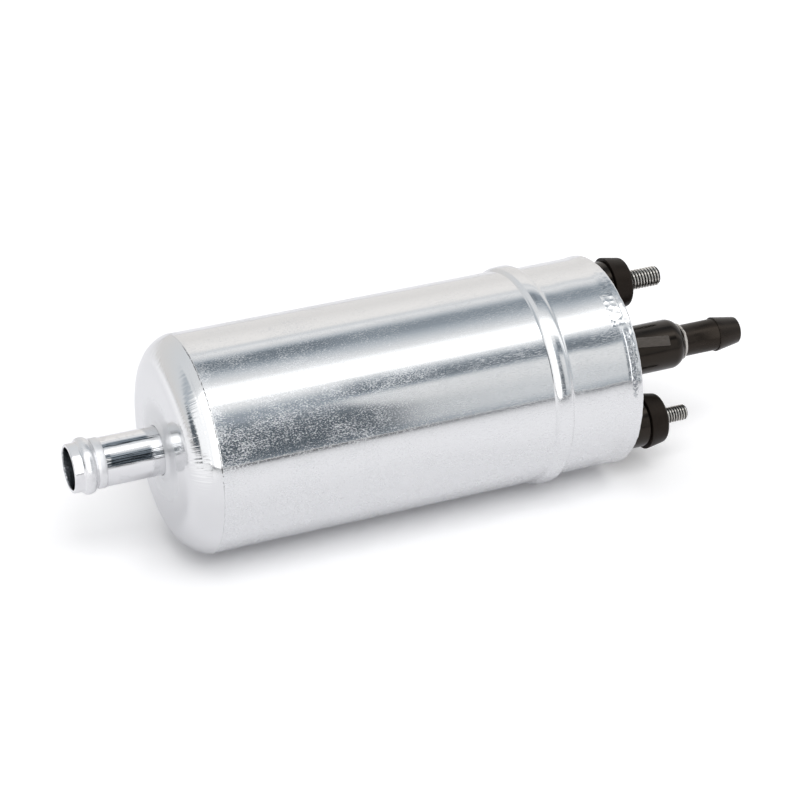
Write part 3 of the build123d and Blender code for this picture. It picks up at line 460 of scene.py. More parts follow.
FINISHES: dict[str, MetalFinish | PlasticFinish] = {
    "terminal_steel": MetalFinish((0.66, 0.65, 0.62), 0.20, Grain.TURNED),
    "boot_plastic": PlasticFinish((0.0098, 0.0072, 0.0056), 0.42, specular=0.13),
    "stage_aluminium": MetalFinish((0.62, 0.63, 0.64), 0.38, Grain.SPECKLED, 0.5 * MM, 0.006 * MM),
    "gear_steel": MetalFinish((0.45, 0.45, 0.46), 0.30, Grain.TURNED),
    "hard_steel": MetalFinish((0.60, 0.60, 0.61), 0.18, Grain.TURNED),
    "spring_steel": MetalFinish((0.50, 0.50, 0.52), 0.24, Grain.SPECKLED, 0.1 * MM),
    "soft_iron": MetalFinish((0.34, 0.34, 0.35), 0.45, Grain.SPECKLED, 0.6 * MM, 0.006 * MM),
    "ferrite": PlasticFinish((0.045, 0.045, 0.048), 0.6, 0.2 * MM, 0.01 * MM),
    "bearing_bronze": MetalFinish((0.62, 0.40, 0.20), 0.35, Grain.SPECKLED, 0.2 * MM, 0.006 * MM),
    "copper": MetalFinish((0.76, 0.38, 0.22), 0.24, Grain.TURNED),
    "seal_rubber": PlasticFinish((0.014, 0.014, 0.014), 0.42, 0.15 * MM, 0.003 * MM),
    "valve_rubber": PlasticFinish((0.060, 0.026, 0.020), 0.45, 0.15 * MM, 0.003 * MM),
    "brush_carbon": PlasticFinish((0.030, 0.030, 0.031), 0.42, 0.1 * MM, 0.004 * MM),
    "inner_plastic": PlasticFinish((0.68, 0.63, 0.50), 0.36),
}


@dataclass(frozen=True)
class CapFinish:
    """Glossy dark moulding of the cap; the rib's top is rough, and painted paler as a sheen.

    Attributes:
        colour: The moulding's colour.
        painted_rib_sheen: The paler colour painted on the rib's top as a sheen.
        specular: Strength of its plain reflection.
        rib_r: Distances from the axis between which the rib is rough and painted with a sheen.
        rib_x: Where the rib starts and ends.
    """

    colour: Colour = (0.0058, 0.0046, 0.0038)
    # Painted sheen on the rib's top.
    painted_rib_sheen: Colour = (0.085, 0.077, 0.070)
    specular: float = 0.32
    rib_r: Point = (6.42 * MM, 7.3 * MM)
    rib_x: Point = (64.6 * MM, 82.35 * MM)

    def make(self) -> Material:
        """Make the material.

        Returns:
            The material.
        """
        kit = Nodes("cap_plastic")
        mottle = kit.noise(3 * MM, 2.0, 2.0)
        scratch = kit.noise(0.2 * MM, 6.0, 3.0, 0.7)
        near, far = self.rib_r
        rib = kit.times(
            kit.spread(kit.radius(), near - 0.05 * MM, near),
            kit.spread(kit.radius(), far, far + 0.2 * MM, 1.0, 0.0),
            kit.window(kit.x, *self.rib_x, 0.03 * MM),
        )
        # The rib's top: real scratches and roughness, and a paler colour painted on as a sheen.
        top = kit.mixed(kit.spread(scratch, 0.35, 0.65), shade(self.painted_rib_sheen, 0.7), self.painted_rib_sheen)
        body = kit.mixed(kit.spread(mottle, 0.35, 0.7), self.colour, shade(self.colour, 1.5, 0.001))
        kit.set(
            Base_Color=kit.mixed(rib, body, top),
            Roughness=kit.plus(kit.spread(mottle, 0.3, 0.7, 0.12, 0.20), kit.times(rib, 0.4)),
            Specular_IOR_Level=self.specular,
            Specular_Tint=WARM_GLINT,
        )
        kit.bump(kit.noise(0.5 * MM, 1.0, 2.0), 0.004 * MM, 0.4)
        kit.bump(kit.times(scratch, rib), 0.02 * MM, 0.5)
        return kit.material


@dataclass(frozen=True)
class WireFinish:
    """Enamelled copper wire laid in turns, drawn as fine rounded ridges, with painted shade between the
    turns.
    """

    colour: Colour = (0.48, 0.17, 0.07)
    pitch: float = 0.6 * MM

    def make(self) -> Material:
        """Make the material.

        Returns:
            The material.
        """
        kit = Nodes("enamelled_copper")
        inputs = {"Vector": kit.place, "Scale": 1 / (self.pitch * 20 / math.tau), "Distortion": 0.6}
        ridge = kit.node("TexWave", inputs, "Fac", bands_direction="X")
        # Painted shade: the colour darkens where the ridges are low, between the turns.
        metal = kit.mixed(ridge, shade(self.colour, 0.5), self.colour)
        kit.set(Base_Color=metal, Metallic=0.6, Roughness=0.28)
        kit.bump(ridge, 0.08 * MM, 0.7)
        return kit.material


@dataclass(frozen=True)
class PipeFinish:
    """Plated steel pipe: bright, drawn lengthwise, with a turned bead and a satin band.

    Attributes:
        colour: The plating's colour.
        painted_shade_and_reflection: The colour of the painted shade in the bore and of the painted dark
            reflections along the sides.
        gauze: The paler grey of the marks in the bore's painted shade.
        bright: Roughness of the bright lengths.
        satin: Roughness of the band.
        band: Where the satin band starts and ends.
        bore: Distances from the axis between which the bore's painted shade ends.
    """

    colour: Colour = (0.80, 0.80, 0.81)
    # Painted shade in the bore, and painted dark reflections on the sides.
    painted_shade_and_reflection: Colour = (0.10, 0.11, 0.12)
    gauze: Colour = (0.42, 0.43, 0.44)
    bright: float = 0.07
    satin: float = 0.42
    band: Point = (-63.9 * MM, -62.0 * MM)
    bore: Point = (4.98 * MM, 5.08 * MM)

    def make(self) -> Material:
        """Make the material.

        Returns:
            The material.
        """
        kit = Nodes("plated_steel")
        low, high = self.band
        drawn = kit.noise(0.26 * MM, 34.0, 3.0, 0.65)
        turned = kit.noise(0.10 * MM, 0.2, 2.0)
        band = kit.window(kit.x, low, high, 0.06 * MM)
        bead = kit.times(
            kit.spread(kit.x, low - 3.4 * MM, low - 3.2 * MM),
            kit.spread(kit.x, low - 0.3 * MM, low, 1.0, 0.0),
        )
        blotches = kit.spread(kit.noise(2.5 * MM, 1.0, 3.0), 0.5, 0.75)
        # Painted dark reflections: lengthwise streaks on the two bands of turns where the room's dark bands
        # are mirrored.
        upper, lower = kit.window(kit.turn(), 110, 117, 2.0), kit.window(kit.turn(), 144, 164, 7.0)
        sides = kit.maths("MAXIMUM", lower, upper)
        painted_reflection_streaks = kit.times(kit.spread(drawn, 0.44, 0.54), sides, kit.spread(kit.x, high, high + 0.3 * MM))
        metal = kit.mixed(blotches, self.colour, shade(self.colour, 0.86))
        metal = kit.mixed(painted_reflection_streaks, metal, self.painted_shade_and_reflection)
        # Painted shade in the bore, with paler marks.
        gauze = kit.mixed(kit.spread(kit.noise(0.4 * MM, 1.0, 3.0), 0.45, 0.6), self.painted_shade_and_reflection, self.gauze)
        kit.set(
            Base_Color=kit.mixed(kit.spread(kit.radius(), *self.bore, 1.0, 0.0), metal, gauze),
            Roughness=kit.plus(
                kit.spread(drawn, 0.3, 0.7, self.bright * 0.5, self.bright * 1.7),
                kit.times(band, self.satin - self.bright),
                kit.times(bead, kit.spread(turned, 0.35, 0.7, 0.14, 0.34)),
            ),
            Metallic=1.0,
        )
        kit.bump(drawn, 0.014 * MM, 0.6)
        kit.bump(kit.times(turned, kit.plus(band, bead)), 0.010 * MM, 0.5)
        return kit.material


@dataclass(frozen=True)
class ThreadFinish:
    """Plated screw thread: bright crests and flanks, and painted shade in the roots."""

    colour: Colour = (0.84, 0.82, 0.78)
    # Painted shade in the roots.
    painted_dark_colour: Colour = (0.035, 0.032, 0.028)
    roughness: float = 0.24

    def make(self, name: str, centre: Point, root: float, crest: float) -> Material:
        """Make the material.

        Args:
            name: The material's name.
            centre: Where the stud's axis lies, across and up.
            root: Radius of the thread's root.
            crest: Radius of its crest.

        Returns:
            The material.
        """
        kit = Nodes(name)
        depth = crest - root
        # Painted shade: the roots are darker, unevenly, and also rougher.
        low = kit.spread(kit.radius(centre), root + 0.35 * depth, root + 0.85 * depth, 1.0, 0.0)
        blotches = kit.noise(0.5 * MM, 1.0, 3.0)
        rough = kit.spread(blotches, 0.3, 0.7, self.roughness * 0.7, self.roughness * 1.3)
        dark = kit.times(low, kit.spread(blotches, 0.2, 0.6, 0.75, 1.0))
        kit.set(
            Base_Color=kit.mixed(dark, self.colour, self.painted_dark_colour),
            Roughness=kit.plus(rough, kit.times(low, 0.3)),
            Metallic=1.0,
        )
        kit.bump(blotches, 0.004 * MM, 0.5)
        return kit.material


@dataclass(frozen=True)
class GauzeFinish:
    """Fine woven gauze of the strainer, its threads crossing at right angles."""

    thread: Colour = (0.13, 0.13, 0.135)
    gap: Colour = (0.012, 0.012, 0.013)
    scratch: Colour = (0.42, 0.42, 0.43)
    pitch: float = 0.42 * MM

    def make(self) -> Material:
        """Make the material.

        Returns:
            The material.
        """
        kit = Nodes("strainer_gauze")
        weave = reduce(partial(kit.maths, "MAXIMUM"), [
            kit.spread(kit.maths("SINE", kit.times(place, math.tau / self.pitch)), -0.2, 0.9)
            for place in (kit.x, kit.y, kit.z)
        ])
        rubbed = kit.spread(kit.noise(0.25 * MM, 5.0, 3.0, 0.7), 0.60, 0.68)
        kit.set(
            Base_Color=kit.mixed(rubbed, kit.mixed(weave, self.gap, self.thread), self.scratch),
            Roughness=kit.spread(weave, 0.0, 1.0, 0.75, 0.45),
        )
        kit.bump(weave, 0.05 * MM, 0.7)
        return kit.material


@dataclass(frozen=True)
class ResinFinish:
    """Milky, slightly clear resin of the bead round the outlet pipe.

    Attributes:
        colour: The resin's colour.
        clear: How much light passes straight through.
        wet: Weight of the glossy coat.
    """

    colour: Colour = (0.62, 0.59, 0.55)
    clear: float = 0.25
    wet: float = 0.5

    def make(self) -> Material:
        """Make the material.

        Returns:
            The material.
        """
        kit = Nodes("joint_resin")
        cloud = kit.noise(1.1 * MM, 1.0, 3.0)
        kit.set(
            Base_Color=kit.mixed(kit.spread(cloud, 0.54, 0.72), self.colour, shade(self.colour, 0.35)),
            Roughness=kit.spread(cloud, 0.3, 0.7, 0.08, 0.22),
            Transmission_Weight=self.clear,
            Coat_Weight=self.wet,
        )
        kit.bump(cloud, 0.08 * MM, 0.5)
        return kit.material


# Modelling moves that the pieces share, each done with Blender's operators.


def arc(centre: Point, radius: float, start: float, end: float, steps: int) -> list[Point]:
    """Points of an arc between two angles, both ends included."""
    return [polar(radius, start + (end - start) * step / steps, centre) for step in range(steps + 1)]


def line(first: Point, last: Point, steps: int) -> list[Point]:
    """Evenly spaced points of a line, both ends included."""
    run, rise = last[0] - first[0], last[1] - first[1]
    return [(first[0] + run * s / steps, first[1] + rise * s / steps) for s in range(steps + 1)]


def in_mm(*points: Point, start: Point = (0.0, 0.0)) -> list[Point]:
    """Points in metres from points in millimetres, counted from a start in metres."""
    return [(start[0] + x * MM, start[1] + r * MM) for x, r in points]


def select(*pieces: Piece) -> None:
    """Select these pieces alone, if any, and make the first active.

    Args:
        pieces: The pieces.
    """
    bpy.ops.object.select_all(action="DESELECT")
    for piece in reversed(pieces):
        piece.select_set(True)
        bpy.context.view_layer.objects.active = piece


def mode(name: str) -> None:
    """Change to EDIT or OBJECT mode."""
    bpy.ops.object.mode_set(mode=name)


def edit() -> None:
    """Open the active mesh in edit mode with all of it selected."""
    mode("EDIT")
    bpy.ops.mesh.select_all(action="SELECT")


def clean() -> None:
    """Merge the doubles of the mesh in edit mode, turn its faces outward and leave the mode."""
    bpy.ops.mesh.select_all(action="SELECT")
    bpy.ops.mesh.remove_doubles(threshold=0.0005 * MM)
    bpy.ops.mesh.normals_make_consistent(inside=False)
    mode("OBJECT")


def pick(piece: Piece, *places: int) -> None:
    """Select some vertices of the piece that is in edit mode, and stay in the mode.

    Args:
        piece: The piece.
        places: The vertices' numbers.
    """
    bpy.ops.mesh.select_all(action="DESELECT")
    mode("OBJECT")
    for vertex in piece.data.vertices:
        vertex.select = vertex.index in places
    mode("EDIT")


def drawn(name: str, section: list[Point], closed: bool = True) -> Piece:
    """Draw a half section above the X axis by extruding a vertex, and stay in edit mode.

    Args:
        name: The piece's name.
        section: Points along and across the axis, in order.
        closed: Whether the last point joins the first.

    Returns:
        The line.
    """
    select()
    bpy.ops.mesh.primitive_plane_add(size=MM, location=(0, 0, 0))
    piece = bpy.context.object
    piece.name = piece.data.name = name
    mode("EDIT")
    bpy.ops.mesh.merge(type="CENTER")
    bpy.ops.transform.translate(value=(section[0][0], 0, section[0][1]))
    for before, after in zip(section, section[1:]):
        step = (after[0] - before[0], 0, after[1] - before[1])
        bpy.ops.mesh.extrude_vertices_move(TRANSFORM_OT_translate={"value": step})
    if closed:
        pick(piece, 0, len(section) - 1)
        bpy.ops.mesh.edge_face_add()
    return piece


def turned(name: str, section: list[Point], around: int, closed: bool = True) -> Piece:
    """Spin a half section round the X axis, as on a lathe.

    Args:
        name: The piece's name.
        section: Points along and across the axis, in order.
        around: How many steps the turn has.
        closed: Whether the last point joins the first.

    Returns:
        The turned piece.
    """
    piece = drawn(name, section, closed)
    bpy.ops.mesh.select_all(action="SELECT")
    bpy.ops.mesh.spin(steps=around, angle=math.tau, center=(0, 0, 0), axis=(1, 0, 0))
    clean()
    return piece


def rod(name: str, outline: list[Point], around: int) -> Piece:
    """Turn a solid rod from the outline between its two flat ends."""
    ends = (outline[0][0], 0), (outline[-1][0], 0)
    return turned(name, [ends[0], *outline, ends[1]], around, closed=False)


def shift(piece: Piece, centre: Point) -> Piece:
    """Move a piece's mesh away from the pump's axis.

    Args:
        piece: The piece, modelled on the axis.
        centre: How far it moves across and up.

    Returns:
        The piece.
    """
    select(piece)
    edit()
    bpy.ops.transform.translate(value=(0, *centre))
    mode("OBJECT")
    return piece


def pull(piece: Piece, place: Vector, move: Vector, reach: float) -> None:
    """Move the vertex nearest to a place and, more softly, those round it.

    Args:
        piece: The active piece.
        place: Where it is pulled.
        move: How far the nearest vertex moves.
        reach: How far from it the others move.
    """
    nearest = min(piece.data.vertices, key=lambda v: (v.co - place).length).index
    mode("EDIT")
    pick(piece, nearest)
    bpy.ops.transform.translate(
        value=tuple(move), use_proportional_edit=True, proportional_edit_falloff="SMOOTH",
        proportional_size=reach,
    )
    mode("OBJECT")


def modify(piece: Piece, kind: str, **values: object) -> None:
    """Add a modifier, set it and apply it.

    Args:
        piece: The piece.
        kind: The modifier's type.
        values: Its settings.
    """
    select(piece)
    modifier = piece.modifiers.new(kind.lower(), kind)
    for name, value in values.items():
        setattr(modifier, name, value)
    bpy.ops.object.modifier_apply(modifier=modifier.name)


def screw(piece: Piece, rise: float, turns: int, steps: int, **merge: object) -> None:
    """Sweep a piece's line along a helix round the X axis."""
    modify(
        piece, "SCREW", axis="X", angle=math.tau, screw_offset=rise, iterations=turns, steps=steps,
        render_steps=steps, **merge,
    )


def roughen(piece: Piece, name: str, size: float, height: float, layers: int = 2, group: str = "") -> None:
    """Displace a piece by cloudy noise.

    Args:
        piece: The piece.
        name: The noise's name.
        size: Width of its swells.
        height: Height of its swells.
        layers: How many finer layers it has.
        group: The vertex group that it is held to.
    """
    texture = bpy.data.textures.new(name, "CLOUDS")
    texture.noise_scale = size
    texture.noise_depth = layers
    modify(
        piece, "DISPLACE", texture=texture, texture_coords="LOCAL", strength=height, mid_level=0.5,
        vertex_group=group,
    )


def combine(piece: Piece, other: Piece, operation: str) -> None:
    """Unite, subtract or intersect another solid, and remove it."""
    modify(piece, "BOOLEAN", object=other, operation=operation, solver="EXACT")
    bpy.data.objects.remove(other, do_unlink=True)


def settle(piece: Piece, angle: float) -> Piece:
    """Apply the place, and shade the piece smooth up to an angle.

    Args:
        piece: The finished piece.
        angle: The sharpest edge that is shaded smooth, in degrees.

    Returns:
        The piece.
    """
    select(piece)
    bpy.ops.object.transform_apply(location=True, rotation=True, scale=True)
    bpy.ops.object.shade_smooth_by_angle(angle=math.radians(angle))
    return piece


def dress(piece: Piece, material: Material, node: str) -> None:
    """Give a piece its material, and let it stand for a node.

    Args:
        piece: The finished piece.
        material: Its material.
        node: The node that it stands for.
    """
    piece.data.materials.clear()
    piece.data.materials.append(material)
    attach(piece, "housing")
    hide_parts(node)
    log.info("%s: %d faces, finish %s", piece.name, len(piece.data.polygons), material.name)


@dataclass
class Canister:
    """The drawn can with its rounded shoulder, rolled bead and crimped rim."""

    body_r: float = 26.0 * MM
    wall: float = 1.2 * MM
    face_x: float = -47.6 * MM
    body_x: float = -41.2 * MM
    bead_x: float = 41.2 * MM
    rear_x: float = 46.1 * MM
    rear_r: float = 25.6 * MM
    flare_x: float = 60.4 * MM
    rim_x: float = 64.6 * MM
    rim_r: float = 25.82 * MM
    rim_round: float = 0.55 * MM
    lip_r: float = 23.8 * MM
    shoulder_r: float = 9.0 * MM
    bead_rise: float = 0.87 * MM
    neck_hole_r: float = 5.82 * MM
    around: int = 480

    def section(self) -> list[Point]:
        """Half section of the can, outside first and then back along the inside.

        Returns:
            The points.
        """
        depth = self.body_x - self.face_x
        drop = math.sqrt(self.shoulder_r**2 - (self.shoulder_r - depth) ** 2)
        centre = (self.face_x + self.shoulder_r, self.body_r - drop)
        turn = math.degrees(math.acos((depth - self.shoulder_r) / self.shoulder_r))
        rim = self.rim_round
        points = in_mm(
            (-48.12, 5.82), (-48.25, 5.90), (-48.32, 6.03), (-48.31, 6.18), (-48.22, 6.36), (-48.07, 6.60),
            (-47.93, 6.83), (-47.82, 7.03), (-47.73, 7.25), (-47.66, 7.52), (-47.61, 7.90), (-47.60, 8.40),
        )
        points += line((self.face_x, 9.5 * MM), (self.face_x, centre[1]), 8)
        points += arc(centre, self.shoulder_r, 180, turn, 36)[1:]
        points += in_mm((0.08, -0.06), (0.20, 0), (0.25, 0), start=(self.body_x, self.body_r))
        points += line((self.body_x + 1.5 * MM, self.body_r), (self.bead_x - 0.6 * MM, self.body_r), 30)
        points += in_mm(
            (41.20, 26.00), (41.32, 26.15), (41.50, 26.34), (41.74, 26.51), (42.02, 26.63), (42.32, 26.71),
            (42.62, 26.755), (43.00, 26.80), (43.40, 26.835), (43.80, 26.86), (44.30, 26.87), (44.80, 26.85),
            (45.20, 26.80), (45.45, 26.72), (45.64, 26.58), (45.78, 26.38), (45.90, 26.12), (46.02, 25.86),
            (46.18, 25.68), (46.45, 25.61),
        )
        points += line((46.9 * MM, self.rear_r), (self.flare_x, self.rear_r), 30)
        points += line((60.9 * MM, self.rear_r), (self.rim_x - 0.75 * MM, self.rim_r), 9)
        points += arc((self.rim_x - rim, self.rim_r - rim), rim, 85, 0, 6)
        points += in_mm((0, 0.6), (-0.15, 0.1), (-0.4, 0), start=(self.rim_x, self.lip_r))
        points += [
            (self.rim_x - self.wall, self.lip_r), (self.rim_x - self.wall, self.rim_r - self.wall),
            (self.flare_x, self.rear_r - self.wall), (self.rear_x, self.rear_r - self.wall),
            (self.bead_x + 2.5 * MM, self.body_r + self.bead_rise - self.wall),
            (self.bead_x, self.body_r - self.wall),
        ]
        points += arc(centre, self.shoulder_r - self.wall, turn - 6, 180, 10)
        return [*points, (self.face_x + self.wall, self.neck_hole_r)]

    def ripple(self, can: Piece) -> None:
        """Displace the rear section a little, and the crimped rim more.

        Args:
            can: The can's mesh.
        """
        bands = (
            ("rear_wave", self.rear_x + 1 * MM, 3 * MM, 9 * MM, 0.16 * MM, 0),
            ("rim_crimp", self.rim_x - 3.2 * MM, 1 * MM, 1.6 * MM, 0.20 * MM, 2),
        )
        for name, start, ease, size, height, layers in bands:
            group = can.vertex_groups.new(name=name)
            for vertex in can.data.vertices:
                share = min(1.0, max(0.0, (vertex.co.x - start) / ease))
                if share > 0 and math.hypot(vertex.co.y, vertex.co.z) > self.lip_r + 0.5 * MM:
                    group.add([vertex.index], share, "REPLACE")
            roughen(can, name, size, height, layers, name)

    def finish(self) -> None:
        """Model the can with its uneven crimp, and dress it."""
        can = turned("can_shell", self.section(), self.around)
        self.ripple(can)
        settle(can, 40)
        dress(can, CanFinish().make(self.body_x, self.rim_x), "housing_can")


@dataclass
class InletPipe:
    """The steel inlet pipe: mouth, hose bead, satin band, plain length and inner flange."""

    pipe_r: float = 5.8 * MM
    bore_r: float = 4.95 * MM
    flange_x: float = -46.4 * MM
    flange_r: float = 9.0 * MM
    end_x: float = -45.4 * MM
    around: int = 128

    def section(self) -> list[Point]:
        """Half section of the pipe, from the bore's mouth along the outside.

        Returns:
            The points.
        """
        points = in_mm(
            (-69.20, 4.95), (-69.40, 4.99), (-69.54, 5.10), (-69.60, 5.28), (-69.59, 5.48), (-69.50, 5.66),
            (-69.34, 5.77), (-69.15, 5.80), (-67.75, 5.80), (-67.50, 5.83), (-67.32, 5.93), (-67.18, 6.10),
            (-66.98, 6.32), (-66.70, 6.50), (-66.35, 6.63), (-65.90, 6.70), (-65.45, 6.67), (-65.05, 6.56),
            (-64.72, 6.38), (-64.48, 6.14), (-64.34, 5.88), (-64.26, 5.66), (-64.16, 5.58), (-64.02, 5.60),
            (-63.95, 5.72), (-63.92, 5.90), (-63.86, 5.95), (-63.20, 5.95), (-62.60, 5.95), (-62.12, 5.95),
            (-62.02, 5.92), (-61.96, 5.82), (-61.88, 5.80),
        )
        points += line((-60.0 * MM, self.pipe_r), (self.flange_x - 0.3 * MM, self.pipe_r), 8)
        points += in_mm((-0.08, 0.06), (0, 0.25), start=(self.flange_x, self.pipe_r))
        points += in_mm((0, -0.1), (0.1, 0), start=(self.flange_x, self.flange_r))
        return [*points, (self.end_x, self.flange_r), (self.end_x, self.bore_r)]

    def finish(self, steel: Material) -> None:
        """Model the pipe and dress it."""
        pipe = settle(turned("inlet_pipe", self.section(), self.around), 50)
        dress(pipe, steel, "inlet_nipple")


@dataclass
class Terminal:
    """One terminal: a threaded stud with its head, and the plastic boot round it."""

    size: str
    angle: float
    thread_r: float
    pitch: float
    tip_x: float
    circle_r: float = 17.4 * MM
    head_x: float = 54.5 * MM
    head_r: float = 4.1 * MM
    inside_x: float = 57.0 * MM
    boss_x: float = 72.25 * MM
    boot_x: float = 77.4 * MM
    boot_wall: float = 1.2 * MM
    foot_r: float = 6.9 * MM
    top_r: float = 6.1 * MM
    top_round: float = 0.9 * MM
    cavity_r: float = 5.25 * MM
    groove: float = 0.3 * MM
    chamfer: float = 0.5 * MM
    thread_depth: float = 0.6
    around: int = 48

    def centre(self) -> Point:
        """Where the terminal's axis lies, across and up."""
        return polar(self.circle_r, self.angle)

    def root_r(self) -> float:
        """Radius of the thread's root."""
        return self.thread_r - self.thread_depth * self.pitch

    def thread(self) -> Piece:
        """Screw the thread's profile along the stud and cut it off flat at both ends.

        Returns:
            The thread.
        """
        start = self.boss_x - 1.5 * self.pitch
        thread = drawn(f"stud_{self.size}", [
            (start + share * self.pitch, radius)
            for share, radius in (
                (0, self.root_r()), (0.08, self.root_r()), (0.46, self.thread_r), (0.60, self.thread_r),
                (1, self.root_r()),
            )
        ], closed=False)
        mode("OBJECT")
        turns = math.ceil((self.tip_x - start) / self.pitch) + 2
        screw(thread, self.pitch, turns, self.around, use_merge_vertices=True, merge_threshold=0.001 * MM)
        for cut, keep_far in ((self.boss_x, False), (self.tip_x - 0.01 * MM, True)):
            edit()
            bpy.ops.mesh.bisect(
                plane_co=(cut, 0, 0), plane_no=(1, 0, 0), use_fill=True, clear_inner=not keep_far,
                clear_outer=keep_far, threshold=0.0001 * MM,
            )
            clean()
        return thread

    def stud(self) -> Piece:
        """Trim the thread by the blank's shape, and join head and shank.

        Returns:
            The stud.
        """
        thread = self.thread()
        groove = (self.boot_x - self.boot_wall - 0.05 * MM, self.boot_x + 0.05 * MM)
        loose = self.thread_r + 0.02 * MM
        combine(thread, rod(f"blank_{self.size}", [
            (self.boss_x - 1 * MM, loose), (groove[0], loose), (groove[0], loose - self.groove),
            (groove[1], loose - self.groove), (groove[1], loose), (self.tip_x - self.chamfer, loose),
            (self.tip_x, loose - self.chamfer),
        ], self.around), "INTERSECT")
        shank = rod(f"shank_{self.size}", [
            (self.head_x, self.head_r - 0.2 * MM), (self.head_x + 0.2 * MM, self.head_r),
            (self.inside_x - 0.1 * MM, self.head_r), (self.inside_x, self.head_r - 0.1 * MM),
            (self.inside_x, self.thread_r), (self.boss_x + 0.2 * MM, self.thread_r),
        ], self.around)
        select(thread, shank)
        bpy.ops.object.join()
        return settle(shift(thread, self.centre()), 35)

    def boot(self) -> Piece:
        """Turn the boot: flared wall, rounded top edge and the hole that grips the stud.

        Returns:
            The boot.
        """
        hole = self.thread_r - self.groove + 0.05 * MM
        edge = self.top_round
        inner_x = self.boot_x - self.boot_wall
        points = [(self.boss_x, self.cavity_r)]
        points += in_mm((0, -0.12), (0.12, 0), start=(self.boss_x, self.foot_r))
        points += line(
            (self.boss_x + 0.8 * MM, self.foot_r - 0.10 * MM),
            (self.boot_x - edge - 0.2 * MM, self.top_r + 0.14 * MM), 5,
        )
        points += arc((self.boot_x - edge, self.top_r - edge + 0.08 * MM), edge, 80, 0, 8)
        points += in_mm((0, 0.35), (-0.05, 0.12), (-0.2, 0), start=(self.boot_x, hole))
        points += [(inner_x, hole), (inner_x, self.cavity_r - 0.3 * MM), (inner_x - 0.3 * MM, self.cavity_r)]
        boot = turned(f"boot_{self.size}", points, 128)
        return settle(shift(boot, self.centre()), 40)

    def finish(self, plastic: Material) -> None:
        """Model and dress stud and boot.

        Args:
            plastic: The boot's material.
        """
        stud = self.stud()
        steel = ThreadFinish().make(f"thread_{self.size}", self.centre(), self.root_r(), self.thread_r)
        dress(stud, steel, f"terminal_stud_{self.size}")
        dress(self.boot(), plastic, f"terminal_boot_{self.size}")


